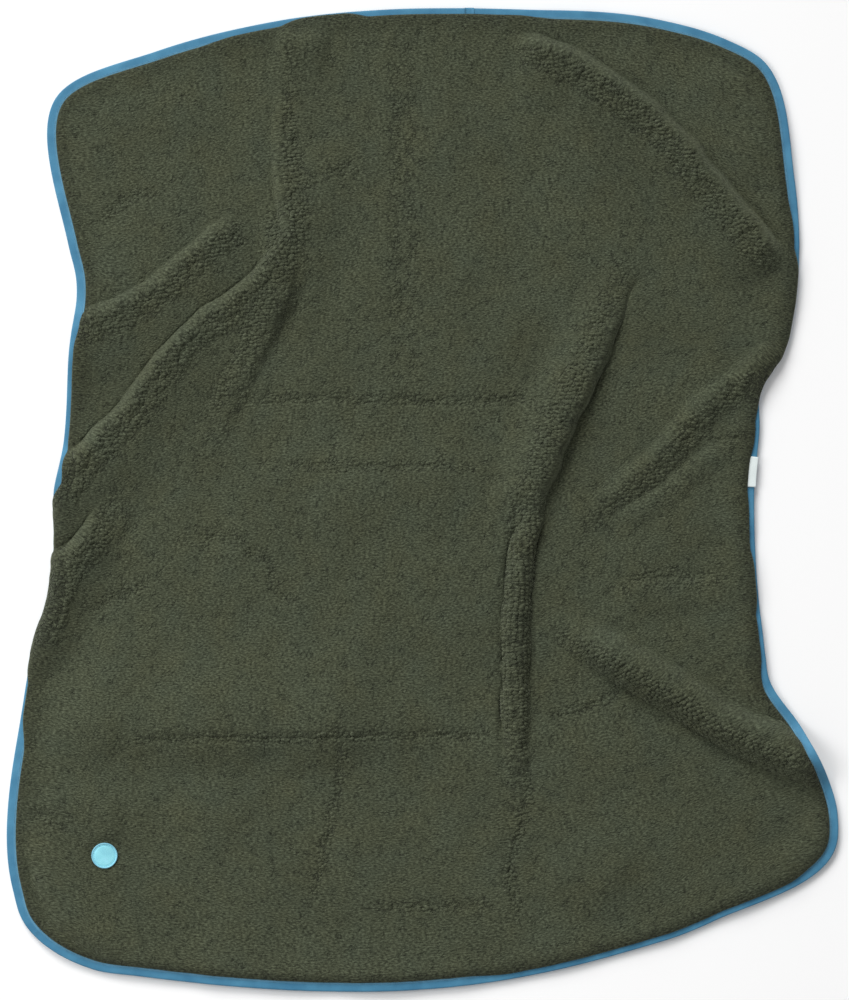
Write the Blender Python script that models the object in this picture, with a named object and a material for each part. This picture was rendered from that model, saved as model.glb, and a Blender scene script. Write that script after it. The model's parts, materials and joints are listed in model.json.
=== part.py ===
"""A camp blanket laid loosely on the ground: a pile fleece panel and a thin back panel, bound
together with tape and two rows of thread, with a round sewn patch near one corner and a folded
ribbon label that flips on the row of thread that holds it.

Metres, +Z up. The origin is on the ground, under the middle of the blanket. The length lies
along Y, and the patch is at the lower left when the blanket is seen from above.
"""

from typing import NamedTuple

import bpy
import numpy as np

# Sizes of the blanket as it lies, over its tape
LAID_WIDTH = 1.266
LAID_LENGTH = 1.496

# Cloth: thickness where it lies free, and where the sewing holds it flat
PILE_THICKNESS = 0.0070
PILE_SEWN = 0.0025
BACK_THICKNESS = 0.0020
BACK_SEWN = 0.0015
SHOULDER = 0.030  # how far in from the edge the cloth regains its thickness

# Binding tape, folded over the edge, and its two threads
TAPE_WIDTH = 0.0135
TAPE_THICKNESS = 0.0006
THREAD = 0.0005
SEAM_INSET = 0.0028  # the needle row, in from the tape's inner edge
TAPE_END = (0.12, 0.98)  # where the tape's end laps its start, in half sizes

# Round patch
PATCH_CENTRE = (-0.763, -0.722)  # in half sizes
PATCH_RADIUS = 0.0215
PATCH_THICKNESS = 0.0012
PATCH_RIM_WIDTH = 0.0018
PATCH_RIM_HEIGHT = 0.0016
PATCH_SEAM_INSET = 0.0035
PATCH_SIDES = 48

# Ribbon label, folded double and sewn across the binding of the right-hand side
LABEL_AT = 0.059  # along the length, in half sizes
LABEL_WIDTH = 0.046
LABEL_LENGTH = 0.020
LABEL_THICKNESS = 0.0010
RIBBON = 0.00035
LABEL_TAIL = 0.0035
TACK_INSET = 0.0022

CLEARANCE = 0.0003  # between pieces that touch

# How finely the cloth is divided
CELLS_ACROSS = 28
CELLS_ALONG = 34
CURVE_STEPS = 24

# The laid outline, counterclockwise from the middle of the top, in half sizes
OUTLINE = (
    (0.256, 0.996), (-0.402, 0.965), (-0.645, 0.911), (-0.882, 0.821), (-0.856, 0.514),
    (-0.839, 0.453), (-0.854, 0.291), (-0.880, 0.051), (-0.890, 0.016), (-0.892, -0.089),
    (-0.918, -0.234), (-0.935, -0.272), (-0.962, -0.398), (-0.990, -0.799), (-0.971, -0.854),
    (-0.798, -0.961), (-0.685, -0.975), (0.224, -0.979), (0.532, -0.915), (0.625, -0.890),
    (0.702, -0.862), (0.999, -0.693), (0.999, -0.648), (0.914, -0.472), (0.830, -0.358),
    (0.825, -0.325), (0.802, -0.128), (0.798, 0.022), (0.810, 0.140), (0.812, 0.211),
    (0.878, 0.313), (0.890, 0.360), (0.894, 0.654), (0.808, 0.900), (0.729, 0.935),
    (0.553, 0.978),
)  # fmt: skip


class Fold(NamedTuple):
    """A ridge in the cloth. Walking along its points, the cloth falls away over `left` on the
    left side and `right` on the right. It swells over the share `rise` of its length at the
    start, and dies out over the share `fall` at the end."""

    height: float
    left: float
    right: float
    rise: float
    fall: float
    points: tuple


FOLDS = (
    Fold(0.026, 0.070, 0.075, 0.25, 0.0, (
        (-0.34, 0.93), (-0.34, 0.73), (-0.34, 0.51), (-0.45, 0.41), (-0.62, 0.29),
        (-0.72, 0.17), (-0.87, 0.04),
    )),
    Fold(0.018, 0.060, 0.060, 0.40, 0.0, ((-0.47, 0.56), (-0.62, 0.45), (-0.87, 0.34))),
    Fold(0.012, 0.060, 0.060, 0.30, 0.4, ((-0.42, 0.29), (-0.52, 0.12), (-0.55, 0.05))),
    Fold(0.024, 0.070, 0.070, 0.30, 0.0, ((-0.77, -0.01), (-0.84, -0.10), (-0.92, -0.25))),
    Fold(0.028, 0.080, 0.075, 0.30, 0.0, (
        (0.26, 0.91), (0.40, 0.87), (0.55, 0.78), (0.68, 0.66), (0.86, 0.47),
    )),
    Fold(0.044, 0.085, 0.120, 0.30, 0.35, (
        (0.50, 0.54), (0.47, 0.40), (0.41, 0.23), (0.32, 0.06), (0.24, -0.12),
        (0.20, -0.33), (0.20, -0.53), (0.22, -0.81),
    )),
    Fold(0.020, 0.075, 0.075, 0.0, 0.5, ((0.81, 0.27), (0.65, 0.17), (0.51, 0.04), (0.34, -0.06))),
    Fold(0.034, 0.090, 0.085, 0.35, 0.0, (
        (0.32, -0.24), (0.45, -0.30), (0.57, -0.39), (0.70, -0.46), (0.92, -0.53),
    )),
)  # fmt: skip

# Heights of the sewn edge, layer by layer, above the ground under it. The tape is lifted so
# that the lower thread clears the ground even where it crosses the tape's lapped end.
LAP = TAPE_THICKNESS + CLEARANCE
TAPE_LOW = THREAD + CLEARANCE + LAP
BACK_EDGE_LOW = TAPE_LOW + TAPE_THICKNESS + CLEARANCE
BACK_EDGE_TOP = BACK_EDGE_LOW + BACK_SEWN
PILE_EDGE_LOW = BACK_EDGE_TOP + CLEARANCE
PILE_EDGE_TOP = PILE_EDGE_LOW + PILE_SEWN
TAPE_TOP = PILE_EDGE_TOP + CLEARANCE + TAPE_THICKNESS
TAPE_OUT = CLEARANCE + TAPE_THICKNESS  # how far the tape stands out from the cloth's edge

# Heights of the free cloth
PILE_LOW = BACK_THICKNESS + CLEARANCE
PILE_TOP = PILE_LOW + PILE_THICKNESS

HALF_SIZE = np.array([LAID_WIDTH, LAID_LENGTH]) / 2


# Curves and the plan of the cloth


def smooth_curve(points, closed):
    """The points joined by cubic arcs, whose direction at each point is that of the chord
    between its neighbours (a Catmull-Rom curve)."""
    points = np.array(points)
    ahead = np.roll(points, -1, axis=0)
    behind = np.roll(points, 1, axis=0)
    if not closed:
        ahead[-1] = 2 * points[-1] - points[-2]
        behind[0] = 2 * points[0] - points[1]
    gap_ahead = np.linalg.norm(ahead - points, axis=1)[:, None]
    gap_behind = np.linalg.norm(points - behind, axis=1)[:, None]
    # Each slope weighs the nearer neighbour more, so uneven spacing makes no loops.
    slope = (ahead - points) / gap_ahead * gap_behind + (points - behind) / gap_behind * gap_ahead
    slope /= gap_ahead + gap_behind
    spans = len(points) if closed else len(points) - 1
    t = np.linspace(0, 1, CURVE_STEPS, endpoint=False)[None, :, None]
    start, end = points[:spans, None], ahead[:spans, None]
    leave = (slope * gap_ahead)[:spans, None]
    arrive = (np.roll(slope, -1, axis=0) * gap_ahead)[:spans, None]
    arcs = (
        (2 * t**3 - 3 * t**2 + 1) * start
        + (t**3 - 2 * t**2 + t) * leave
        + (3 * t**2 - 2 * t**3) * end
        + (t**3 - t**2) * arrive
    ).reshape(-1, 2)
    return arcs if closed else np.vstack([arcs, points[-1:]])


def even_stations(curve):
    """Points at even steps along each of the outline's four sides, counterclockwise from the
    lower left. A side runs between corners, which are the points farthest out along the
    diagonals."""
    diagonals = np.array([(-1, -1), (1, -1), (1, 1), (-1, 1)])
    corners = np.argmax(diagonals @ curve.T, axis=1)
    ring = np.roll(curve, -corners[0], axis=0)
    ring = np.vstack([ring, ring[:1]])
    run = np.concatenate([[0], np.cumsum(np.linalg.norm(np.diff(ring, axis=0), axis=1))])
    ends = [*((corners - corners[0]) % len(curve)), len(curve)]
    counts = (CELLS_ACROSS, CELLS_ALONG, CELLS_ACROSS, CELLS_ALONG)
    at = np.concatenate([
        np.linspace(run[a], run[b], count, endpoint=False)
        for a, b, count in zip(ends, ends[1:], counts)
    ])
    return np.stack([np.interp(at, run, ring[:, axis]) for axis in (0, 1)], axis=1)


def inward(ring):
    """The unit normal that points into the cloth, at each station."""
    along = np.roll(ring, -1, axis=0) - np.roll(ring, 1, axis=0)
    along /= np.linalg.norm(along, axis=1)[:, None]
    return np.stack([-along[:, 1], along[:, 0]], axis=1)


def cloth_edge():
    """The stations of the cloth's cut edge, so that the tape round it measures the laid size."""
    ring = even_stations(smooth_curve(np.array(OUTLINE) * HALF_SIZE, closed=True))
    for _ in range(3):
        outside = ring - inward(ring) * TAPE_OUT
        low, high = outside.min(axis=0), outside.max(axis=0)
        ring = (ring - (low + high) / 2) * (2 * HALF_SIZE / (high - low))
    return ring


def patch_between(ring):
    """The inner points of a Coons patch: each is the mix of the points across and along from
    it on the four sides, less the mix of the four corners. Shape (rows, columns, 2)."""
    n, m = CELLS_ACROSS, CELLS_ALONG
    bottom, right = ring[: n + 1], ring[n : n + m + 1]
    top = ring[n + m : 2 * n + m + 1][::-1]
    left = np.vstack([ring[2 * n + m :], ring[:1]])[::-1]
    u = np.linspace(0, 1, n + 1)[None, :, None]
    v = np.linspace(0, 1, m + 1)[:, None, None]
    across = (1 - v) * bottom[None] + v * top[None]
    along = (1 - u) * left[:, None] + u * right[:, None]
    corners = (1 - v) * ((1 - u) * bottom[0] + u * bottom[-1]) + v * (
        (1 - u) * top[0] + u * top[-1]
    )
    return (across + along - corners)[1:-1, 1:-1]


def cloth_plan(edge, normal):
    """Plan points and triangles of the cloth: three rings, at the cut edge, under the tape's
    inner edge and at the shoulder, and the patch inside them. Every layer uses the same
    triangles, so layers that differ only in height never meet."""
    rings = [edge + normal * depth for depth in (0, TAPE_WIDTH, SHOULDER)]
    inner = patch_between(rings[-1])
    points = np.vstack([*rings, inner.reshape(-1, 2)])
    stations = len(edge)
    ids = np.arange(3 * stations).reshape(3, stations)
    n, m = CELLS_ACROSS, CELLS_ALONG
    grid = np.zeros((m + 1, n + 1), int)
    grid[1:-1, 1:-1] = np.arange(3 * stations, len(points)).reshape(m - 1, n - 1)
    last = ids[-1]
    grid[0], grid[:, -1] = last[: n + 1], last[n : n + m + 1]
    grid[-1] = last[n + m : 2 * n + m + 1][::-1]
    grid[:, 0] = np.append(last[2 * n + m :], last[0])[::-1]
    quads = [
        np.stack([a, np.roll(a, -1), np.roll(b, -1), b], axis=1) for a, b in zip(ids, ids[1:])
    ]
    cells = np.stack([grid[:-1, :-1], grid[:-1, 1:], grid[1:, 1:], grid[1:, :-1]], axis=-1)
    return points, halved(np.vstack([*quads, cells.reshape(-1, 4)]))


def halved(quads):
    return np.vstack([quads[:, [0, 1, 2]], quads[:, [0, 2, 3]]])


def relief(plan):
    """Height of the cloth's underside: the highest of the folds that reach each point. A
    fold's section is half a cosine wave on each side of its crest."""
    height = np.zeros(len(plan))
    for fold in FOLDS:
        crest = smooth_curve(np.array(fold.points) * HALF_SIZE, closed=False)
        step = np.diff(crest, axis=0)
        reach = plan[:, None] - crest[None, :-1]
        share = np.clip((reach * step).sum(axis=2) / (step**2).sum(axis=1), 0, 1)
        away = reach - share[..., None] * step
        distance = np.linalg.norm(away, axis=2)
        nearest = distance.argmin(axis=1)
        rows = np.arange(len(plan))
        side = step[nearest, 0] * away[rows, nearest, 1] - step[nearest, 1] * away[rows, nearest, 0]
        width = np.where(side > 0, fold.left, fold.right)
        section = (1 + np.cos(np.pi * np.minimum(distance[rows, nearest] / width, 1))) / 2
        along = (nearest + share[rows, nearest]) / len(step)
        swell = np.clip(along / fold.rise, 0, 1) if fold.rise else 1
        fade = np.clip((1 - along) / fold.fall, 0, 1) if fold.fall else 1
        ends = (1 - np.cos(np.pi * swell * fade)) / 2
        height = np.maximum(height, fold.height * section * ends)
    return height


# Solids


def material(name, colour, roughness, metallic=0.0):
    made = bpy.data.materials.new(name)
    made.use_nodes = True
    shader = made.node_tree.nodes["Principled BSDF"]
    shader.inputs["Base Color"].default_value = (*colour, 1)
    shader.inputs["Roughness"].default_value = roughness
    shader.inputs["Metallic"].default_value = metallic
    return made


def solid(name, points, faces, finish, smooth=True, origin=(0, 0, 0)):
    """An object from points in the world, with its own origin at the place given."""
    mesh = bpy.data.meshes.new(name)
    mesh.from_pydata((np.asarray(points) - origin).tolist(), [], [list(face) for face in faces])
    mesh.materials.append(finish)
    if smooth:
        mesh.shade_smooth()
        mesh.set_sharp_from_angle(angle=np.radians(40))
    made = bpy.data.objects.new(name, mesh)
    made.location = origin
    bpy.context.scene.collection.objects.link(made)
    return made


def layer(name, plan, triangles, stations, low, top, finish):
    """A panel of cloth: the same plan at two heights, closed by a wall along the cut edge,
    whose stations are the plan's first points."""
    count = len(plan)
    points = np.vstack([np.column_stack([plan, low]), np.column_stack([plan, top])])
    a = np.arange(stations)
    b = np.roll(a, -1)
    wall = halved(np.stack([a, b, b + count, a + count], axis=1))
    faces = np.vstack([triangles[:, ::-1], triangles + count, wall])
    return solid(name, points, faces, finish)


def swept(name, sections, closed, finish, turned=False):
    """A solid through a row of sections, each a loop of points: a ring when closed, and
    otherwise a strip with a cap at each end. Shape of sections: (row, point, 3). `turned` says
    which sides of the section are cut into triangles along their other diagonal."""
    rows, sides = sections.shape[:2]
    ids = np.arange(rows * sides).reshape(rows, sides)
    here = ids if closed else ids[:-1]
    there = np.roll(ids, -1, axis=0) if closed else ids[1:]
    quads = np.stack(
        [here, np.roll(here, -1, axis=1), np.roll(there, -1, axis=1), there], axis=-1
    )
    turned = np.broadcast_to(turned, sides)
    faces = halved(quads[:, ~turned].reshape(-1, 4)).tolist()
    faces += halved(np.roll(quads[:, turned], 1, axis=-1).reshape(-1, 4)).tolist()
    if not closed:
        faces += [ids[0][::-1].tolist(), ids[-1].tolist()]
    return solid(name, sections.reshape(-1, 3), faces, finish)


def sections_along(ring, normal, ground, profiles):
    """Profiles of (distance in from the edge, height) pairs, stood up at the stations."""
    profiles = np.broadcast_to(profiles, (len(ring), *np.shape(profiles)[-2:]))
    plan = ring[:, None] + normal[:, None] * profiles[..., :1]
    return np.concatenate([plan, ground[:, None, None] + profiles[..., 1:]], axis=2)


def tape_profile(lap):
    """The tape's section, folded over the edge. The lapped end is one tape further out."""
    out, low, top = TAPE_OUT + lap, TAPE_LOW - lap, TAPE_TOP + lap
    inner_out, wall = out - TAPE_THICKNESS, TAPE_THICKNESS
    return (
        (TAPE_WIDTH, low), (TAPE_WIDTH, low + wall), (-inner_out, low + wall),
        (-inner_out, top - wall), (TAPE_WIDTH, top - wall), (TAPE_WIDTH, top),
        (-out, top), (-out, low),
    )  # fmt: skip


def binding(edge, normal, ground, finish):
    """One length of tape, round the whole edge and a station more, over its own start."""
    start = np.argmin(np.linalg.norm(edge - np.array(TAPE_END) * HALF_SIZE, axis=1))
    at = (start + np.arange(len(edge) + 2)) % len(edge)
    laps = [0] * len(edge) + [LAP, LAP]
    profiles = np.array([tape_profile(lap) for lap in laps])
    sections = sections_along(edge[at], normal[at], ground[at], profiles)
    # Each side of the section is cut from its outer point, as the cloth's triangles are.
    depth = profiles[0, :, 0]
    swept("edge_binding", sections, False, finish, turned=depth > np.roll(depth, -1))
    return at[-2:]


def thread_row(name, edge, normal, ground, near, finish):
    """A row of thread as one even ring. `near` is its lower height at each station."""
    seam = TAPE_WIDTH - SEAM_INSET
    profiles = np.array([
        ((seam, z), (seam, z + THREAD), (seam - THREAD, z + THREAD), (seam - THREAD, z))
        for z in near
    ])
    return swept(name, sections_along(edge, normal, ground, profiles), True, finish)


def turned_ring(name, centre, inner, outer, low, top, finish):
    angle = np.linspace(0, 2 * np.pi, PATCH_SIDES, endpoint=False)
    spoke = np.stack([np.cos(angle), np.sin(angle)], axis=1)[:, None]
    profile = np.array([(inner, low), (inner, top), (outer, top), (outer, low)])
    plan = np.array(centre) + spoke * profile[None, :, :1]
    height = np.broadcast_to(profile[None, :, 1:], (PATCH_SIDES, 4, 1))
    return swept(name, np.concatenate([plan, height], axis=2), True, finish)


def round_patch(finishes):
    """The patch lies on the pile. Its thick rim wraps it, and its thread runs inside the rim."""
    centre = np.array(PATCH_CENTRE) * HALF_SIZE
    low = PILE_TOP + CLEARANCE
    rim_inner = PATCH_RADIUS - PATCH_RIM_WIDTH
    radius = rim_inner - CLEARANCE
    angle = np.linspace(0, 2 * np.pi, PATCH_SIDES, endpoint=False)
    plan = centre + radius * np.stack([np.cos(angle), np.sin(angle)], axis=1)
    a = np.arange(PATCH_SIDES)
    b = np.roll(a, -1)
    wall = np.stack([a, b, b + PATCH_SIDES, a + PATCH_SIDES], axis=1).tolist()
    points = np.vstack([
        np.column_stack([plan, np.full(PATCH_SIDES, height)])
        for height in (low, low + PATCH_THICKNESS)
    ])
    faces = [a[::-1].tolist(), (a + PATCH_SIDES).tolist(), *wall]
    solid("patch_disc", points, faces, finishes["patch"])
    turned_ring(
        "patch_rim", centre, rim_inner, PATCH_RADIUS, low, low + PATCH_RIM_HEIGHT,
        finishes["patch_rim"],
    )  # fmt: skip
    seam = PATCH_RADIUS - PATCH_SEAM_INSET
    thread_low = low + PATCH_THICKNESS + CLEARANCE
    turned_ring(
        "patch_thread", centre, seam - THREAD, seam, thread_low, thread_low + THREAD,
        finishes["patch_thread"],
    )  # fmt: skip


def bar(name, root, out, along, profile, finish, origin=(0, 0, 0)):
    """A profile of (distance out, height) pairs, run along the label's width."""
    half = np.append(along, 0) * LABEL_WIDTH / 2
    section = np.array([(*(root[:2] + out * d), root[2] + z) for d, z in profile])
    sections = np.stack([section - half, section + half])
    ids = np.arange(2 * len(profile)).reshape(2, -1)
    walls = np.stack([ids[0], ids[1], np.roll(ids[1], -1), np.roll(ids[0], -1)], axis=1)
    faces = [*walls.tolist(), ids[0].tolist(), ids[1][::-1].tolist()]
    return solid(name, sections.reshape(-1, 3), faces, finish, smooth=False, origin=origin)


def label(edge, normal, ground, finishes):
    """The ribbon label, from the tape's inner edge out across the tape. Its tail lies on the
    needle row and is held by a row of its own, and its flap turns about the tail's top edge."""
    right = slice(CELLS_ACROSS, CELLS_ACROSS + CELLS_ALONG + 1)
    ends = (LABEL_AT * HALF_SIZE[1] + np.array([-0.5, 0.5]) * LABEL_WIDTH)[:, None]
    side = edge[right]
    chord = np.hstack([np.interp(ends, side[:, 1], side[:, 0]), ends])
    along = (chord[1] - chord[0]) / np.linalg.norm(chord[1] - chord[0])
    out = np.array([along[1], -along[0]])
    middle = chord.mean(axis=0)
    low = ground[right].take(np.abs(side[:, 1] - middle[1]).argmin()) + TAPE_TOP
    low += CLEARANCE + THREAD + CLEARANCE
    root = np.append(middle - out * TAPE_WIDTH, low)
    tall = LABEL_THICKNESS
    tail = ((0, 0), (LABEL_TAIL, 0), (LABEL_TAIL, tall), (0, tall))
    bar("label_tail", root, out, along, tail, finishes["label"])

    hinge = LABEL_TAIL + CLEARANCE
    fold = LABEL_LENGTH - RIBBON
    flap = (
        (hinge, 0), (LABEL_LENGTH, 0), (LABEL_LENGTH, tall), (hinge, tall),
        (hinge, tall - RIBBON), (fold, tall - RIBBON), (fold, RIBBON), (hinge, RIBBON),
    )  # fmt: skip
    axis = np.array([*(root[:2] + out * hinge), low + tall])
    bar("side_label", root, out, along, flap, finishes["label"], origin=axis)

    tack = LABEL_TAIL - TACK_INSET
    tack_low = tall + CLEARANCE
    row = (
        (tack - THREAD, tack_low), (tack, tack_low),
        (tack, tack_low + THREAD), (tack - THREAD, tack_low + THREAD),
    )  # fmt: skip
    bar("label_tack", root, out, along, row, finishes["label_thread"])


def main():
    for old in list(bpy.data.objects):
        bpy.data.objects.remove(old)
    finishes = {
        "pile": material("olive_pile", (0.061, 0.069, 0.045), 0.95),
        "back": material("olive_knit", (0.055, 0.063, 0.042), 0.90),
        "tape": material("blue_tape", (0.065, 0.239, 0.392), 0.75),
        "tape_thread": material("blue_thread", (0.075, 0.260, 0.410), 0.60),
        "patch": material("pale_cyan_patch", (0.250, 0.658, 0.761), 0.65),
        "patch_rim": material("cyan_rim", (0.220, 0.600, 0.740), 0.60),
        "patch_thread": material("cyan_thread", (0.230, 0.560, 0.700), 0.60),
        "label": material("white_ribbon", (0.738, 0.815, 0.807), 0.50),
        "label_thread": material("white_thread", (0.700, 0.760, 0.760), 0.60),
    }
    edge = cloth_edge()
    normal = inward(edge)
    ground = relief(edge + normal * TAPE_WIDTH / 2)
    plan, triangles = cloth_plan(edge, normal)
    stations = len(edge)
    free = relief(plan)
    sewn = np.arange(len(plan)) < 2 * stations
    free[sewn] = np.tile(ground, 2)

    def at_heights(edge_height, free_height):
        return free + np.where(sewn, edge_height, free_height)

    layer(
        "back_panel", plan, triangles, stations,
        at_heights(BACK_EDGE_LOW, 0), at_heights(BACK_EDGE_TOP, BACK_THICKNESS),
        finishes["back"],
    )  # fmt: skip
    layer(
        "pile_panel", plan, triangles, stations,
        at_heights(PILE_EDGE_LOW, PILE_LOW), at_heights(PILE_EDGE_TOP, PILE_TOP),
        finishes["pile"],
    )  # fmt: skip
    lapped = binding(edge, normal, ground, finishes["tape"])
    lap = np.zeros(stations)
    lap[lapped] = LAP
    thread_row(
        "binding_needle_thread", edge, normal, ground, TAPE_TOP + lap + CLEARANCE,
        finishes["tape_thread"],
    )  # fmt: skip
    thread_row(
        "binding_bobbin_thread", edge, normal, ground, TAPE_LOW - lap - CLEARANCE - THREAD,
        finishes["tape_thread"],
    )  # fmt: skip
    round_patch(finishes)
    label(edge, normal, ground, finishes)


main()
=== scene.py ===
# %% [markdown]
# # A camp blanket, laid out in soft folds
#
# A camp blanket is a pile fleece face and a thin knit back, cut to one size and bound round the
# edge with folded tape. It carries a round sewn patch near one corner and a small ribbon label.
# It could be draped by a cloth simulation, but the folds wanted here are known ones, so each is
# drawn as a ridge with its own height and width, and the cloth is worked out over them.

import json

import bpy
import numpy as np
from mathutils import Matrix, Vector


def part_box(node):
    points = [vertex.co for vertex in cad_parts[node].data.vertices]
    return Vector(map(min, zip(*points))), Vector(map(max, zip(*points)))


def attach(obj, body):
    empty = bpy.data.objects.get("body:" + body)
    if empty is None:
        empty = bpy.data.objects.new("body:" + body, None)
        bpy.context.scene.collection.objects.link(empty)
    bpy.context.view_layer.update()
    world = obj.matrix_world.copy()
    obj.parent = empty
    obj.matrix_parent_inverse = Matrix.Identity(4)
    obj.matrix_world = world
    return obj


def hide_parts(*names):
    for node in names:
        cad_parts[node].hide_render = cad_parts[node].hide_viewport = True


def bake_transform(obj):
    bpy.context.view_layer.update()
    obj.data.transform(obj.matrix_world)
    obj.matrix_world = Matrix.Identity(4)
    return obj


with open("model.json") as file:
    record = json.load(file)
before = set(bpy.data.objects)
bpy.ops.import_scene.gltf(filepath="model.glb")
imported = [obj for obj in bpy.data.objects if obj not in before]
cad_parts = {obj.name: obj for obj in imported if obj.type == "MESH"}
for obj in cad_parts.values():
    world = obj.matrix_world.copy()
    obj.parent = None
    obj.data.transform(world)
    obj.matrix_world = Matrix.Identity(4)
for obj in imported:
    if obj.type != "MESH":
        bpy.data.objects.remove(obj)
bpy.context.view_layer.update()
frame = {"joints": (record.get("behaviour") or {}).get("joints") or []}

# %% [markdown]
# ## Sizes
#
# The laid width and length come from the frame, whose widest piece is the binding. The cut size
# is that of a standard throw. Thicknesses are those of a deep pile fleece on a thin knit, and
# both are pressed flat where the tape is sewn over them.

# %% Sizes in metres
tape_low, tape_high = (np.array(corner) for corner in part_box("edge_binding"))
HALF_SIZE = (tape_high - tape_low)[:2] / 2
FLAT_SIZE = np.array([1.270, 1.524])
FLAT_CORNER = 0.110
FLAT_AREA = FLAT_SIZE.prod() - (4 - np.pi) * FLAT_CORNER**2

PILE, BACK = 0.0072, 0.0020
PILE_SEWN, BACK_SEWN = 0.0025, 0.0015
TAPE_WIDTH, TAPE = 0.0135, 0.0006
SHOULDER = 0.030
AIR = 0.00015
LIFT = BACK_SEWN + TAPE + 4 * AIR

patch_low, patch_high = (np.array(corner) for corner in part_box("patch_disc"))
PATCH_AT = ((patch_low + patch_high) / 2)[:2]
PATCH_RADIUS = float((patch_high - patch_low)[0] / 2)
PATCH_BASE = 0.0052

CELLS_ACROSS, CELLS_ALONG = 232, 276
print(f"cut {FLAT_SIZE[0]:.3f} x {FLAT_SIZE[1]:.3f} m, area {FLAT_AREA:.3f} m2")

# %% [markdown]
# ## The laid outline
#
# The edge is one closed smooth curve through a few points, given in half sizes and listed
# counterclockwise. The same list shapes the CAD pieces, so the cloth lies where they do. The
# grid of the cloth is hung from stations at even steps along the four sides.

# %% Curves and stations
OUTLINE = (
    (0.256, 0.996), (-0.402, 0.965), (-0.645, 0.911), (-0.882, 0.821), (-0.856, 0.514),
    (-0.839, 0.453), (-0.854, 0.291), (-0.880, 0.051), (-0.890, 0.016), (-0.892, -0.089),
    (-0.918, -0.234), (-0.935, -0.272), (-0.962, -0.398), (-0.990, -0.799), (-0.971, -0.854),
    (-0.798, -0.961), (-0.685, -0.975), (0.224, -0.979), (0.532, -0.915), (0.625, -0.890),
    (0.702, -0.862), (0.999, -0.693), (0.999, -0.648), (0.914, -0.472), (0.830, -0.358),
    (0.825, -0.325), (0.802, -0.128), (0.798, 0.022), (0.810, 0.140), (0.812, 0.211),
    (0.878, 0.313), (0.890, 0.360), (0.894, 0.654), (0.808, 0.900), (0.729, 0.935),
    (0.553, 0.978),
)  # fmt: skip


def smooth_curve(points, closed, steps):
    """Catmull-Rom: on each span the point is the cubic Hermite blend of its two ends, whose
    slopes are the chords to the neighbours, each weighed by the other's length."""
    points = np.array(points, float)
    ahead, behind = np.roll(points, -1, axis=0), np.roll(points, 1, axis=0)
    if not closed:
        ahead[-1], behind[0] = 2 * points[-1] - points[-2], 2 * points[0] - points[1]
    to_next = np.linalg.norm(ahead - points, axis=1)[:, None]
    to_last = np.linalg.norm(points - behind, axis=1)[:, None]
    slope = (ahead - points) / to_next * to_last + (points - behind) / to_last * to_next
    slope /= to_next + to_last
    spans = len(points) if closed else len(points) - 1
    t = np.linspace(0, 1, steps, endpoint=False)[None, :, None]
    start, end = points[:spans, None], ahead[:spans, None]
    leave = (slope * to_next)[:spans, None]
    arrive = (np.roll(slope, -1, axis=0) * to_next)[:spans, None]
    arcs = (2 * t**3 - 3 * t**2 + 1) * start + (t**3 - 2 * t**2 + t) * leave
    arcs = arcs + (3 * t**2 - 2 * t**3) * end + (t**3 - t**2) * arrive
    arcs = arcs.reshape(-1, points.shape[1])
    return arcs if closed else np.vstack([arcs, points[-1:]])


def even_stations(curve):
    """Even steps along each side, counterclockwise from the lower left. The sides meet where
    the curve is farthest out along the diagonals."""
    diagonals = np.array([(-1, -1), (1, -1), (1, 1), (-1, 1)])
    corners = np.argmax(diagonals @ curve.T, axis=1)
    ring = np.roll(curve, -corners[0], axis=0)
    ring = np.vstack([ring, ring[:1]])
    run = np.concatenate([[0], np.cumsum(np.linalg.norm(np.diff(ring, axis=0), axis=1))])
    ends = [*((corners - corners[0]) % len(curve)), len(curve)]
    counts = (CELLS_ACROSS, CELLS_ALONG, CELLS_ACROSS, CELLS_ALONG)
    at = np.concatenate([
        np.linspace(run[a], run[b], count, endpoint=False)
        for a, b, count in zip(ends, ends[1:], counts)
    ])
    return np.stack([np.interp(at, run, ring[:, axis]) for axis in (0, 1)], axis=1)


def inward(ring):
    """The tangent turned a quarter left, which points into a counterclockwise ring."""
    along = np.roll(ring, -1, axis=0) - np.roll(ring, 1, axis=0)
    along /= np.linalg.norm(along, axis=1)[:, None]
    return np.stack([-along[:, 1], along[:, 0]], axis=1)


edge = even_stations(smooth_curve(np.array(OUTLINE) * HALF_SIZE, True, 60))
low, high = edge.min(axis=0), edge.max(axis=0)
edge = (edge - (low + high) / 2) * (2 * HALF_SIZE / (high - low))
normal = inward(edge)
STATIONS = len(edge)
step = np.linalg.norm(np.roll(edge, -1, axis=0) - edge, axis=1)
edge_run = np.concatenate([[0], np.cumsum(step)])
print(f"{STATIONS} stations, {edge_run[-1]:.3f} m round the laid edge")


def flat_edge():
    """The cut outline: a rectangle with round corners, its stations placed as the laid ones."""
    turn = np.linspace(0, np.pi / 2, 40)
    arc = np.stack([np.cos(turn), np.sin(turn)], axis=1) * FLAT_CORNER
    half = FLAT_SIZE / 2 - FLAT_CORNER
    quarter = [arc @ np.array([[c, s], [-s, c]]) for c, s in ((1, 0), (0, 1), (-1, 0), (0, -1))]
    places = ((1, 1), (-1, 1), (-1, -1), (1, -1))
    corners = [half * place + part for place, part in zip(places, quarter)]
    return even_stations(np.vstack(corners))


cut_edge = flat_edge()
cut_normal = inward(cut_edge)
print("cut edge spans", np.round(np.ptp(cut_edge, axis=0), 3).tolist())

# %% [markdown]
# ## Folds, creases and old packing lines
#
# A fold is a ridge along a smooth line. Its section is half a cosine wave on each side, and the
# crest may lean to one side, which makes that flank steep. Where the cloth bends round a flank
# the pile opens and shows dark gaps, so each fold also says on which side it opens. The points of
# its line are in half sizes, as the outline's are, so a fold keeps its place on another blanket.


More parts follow.
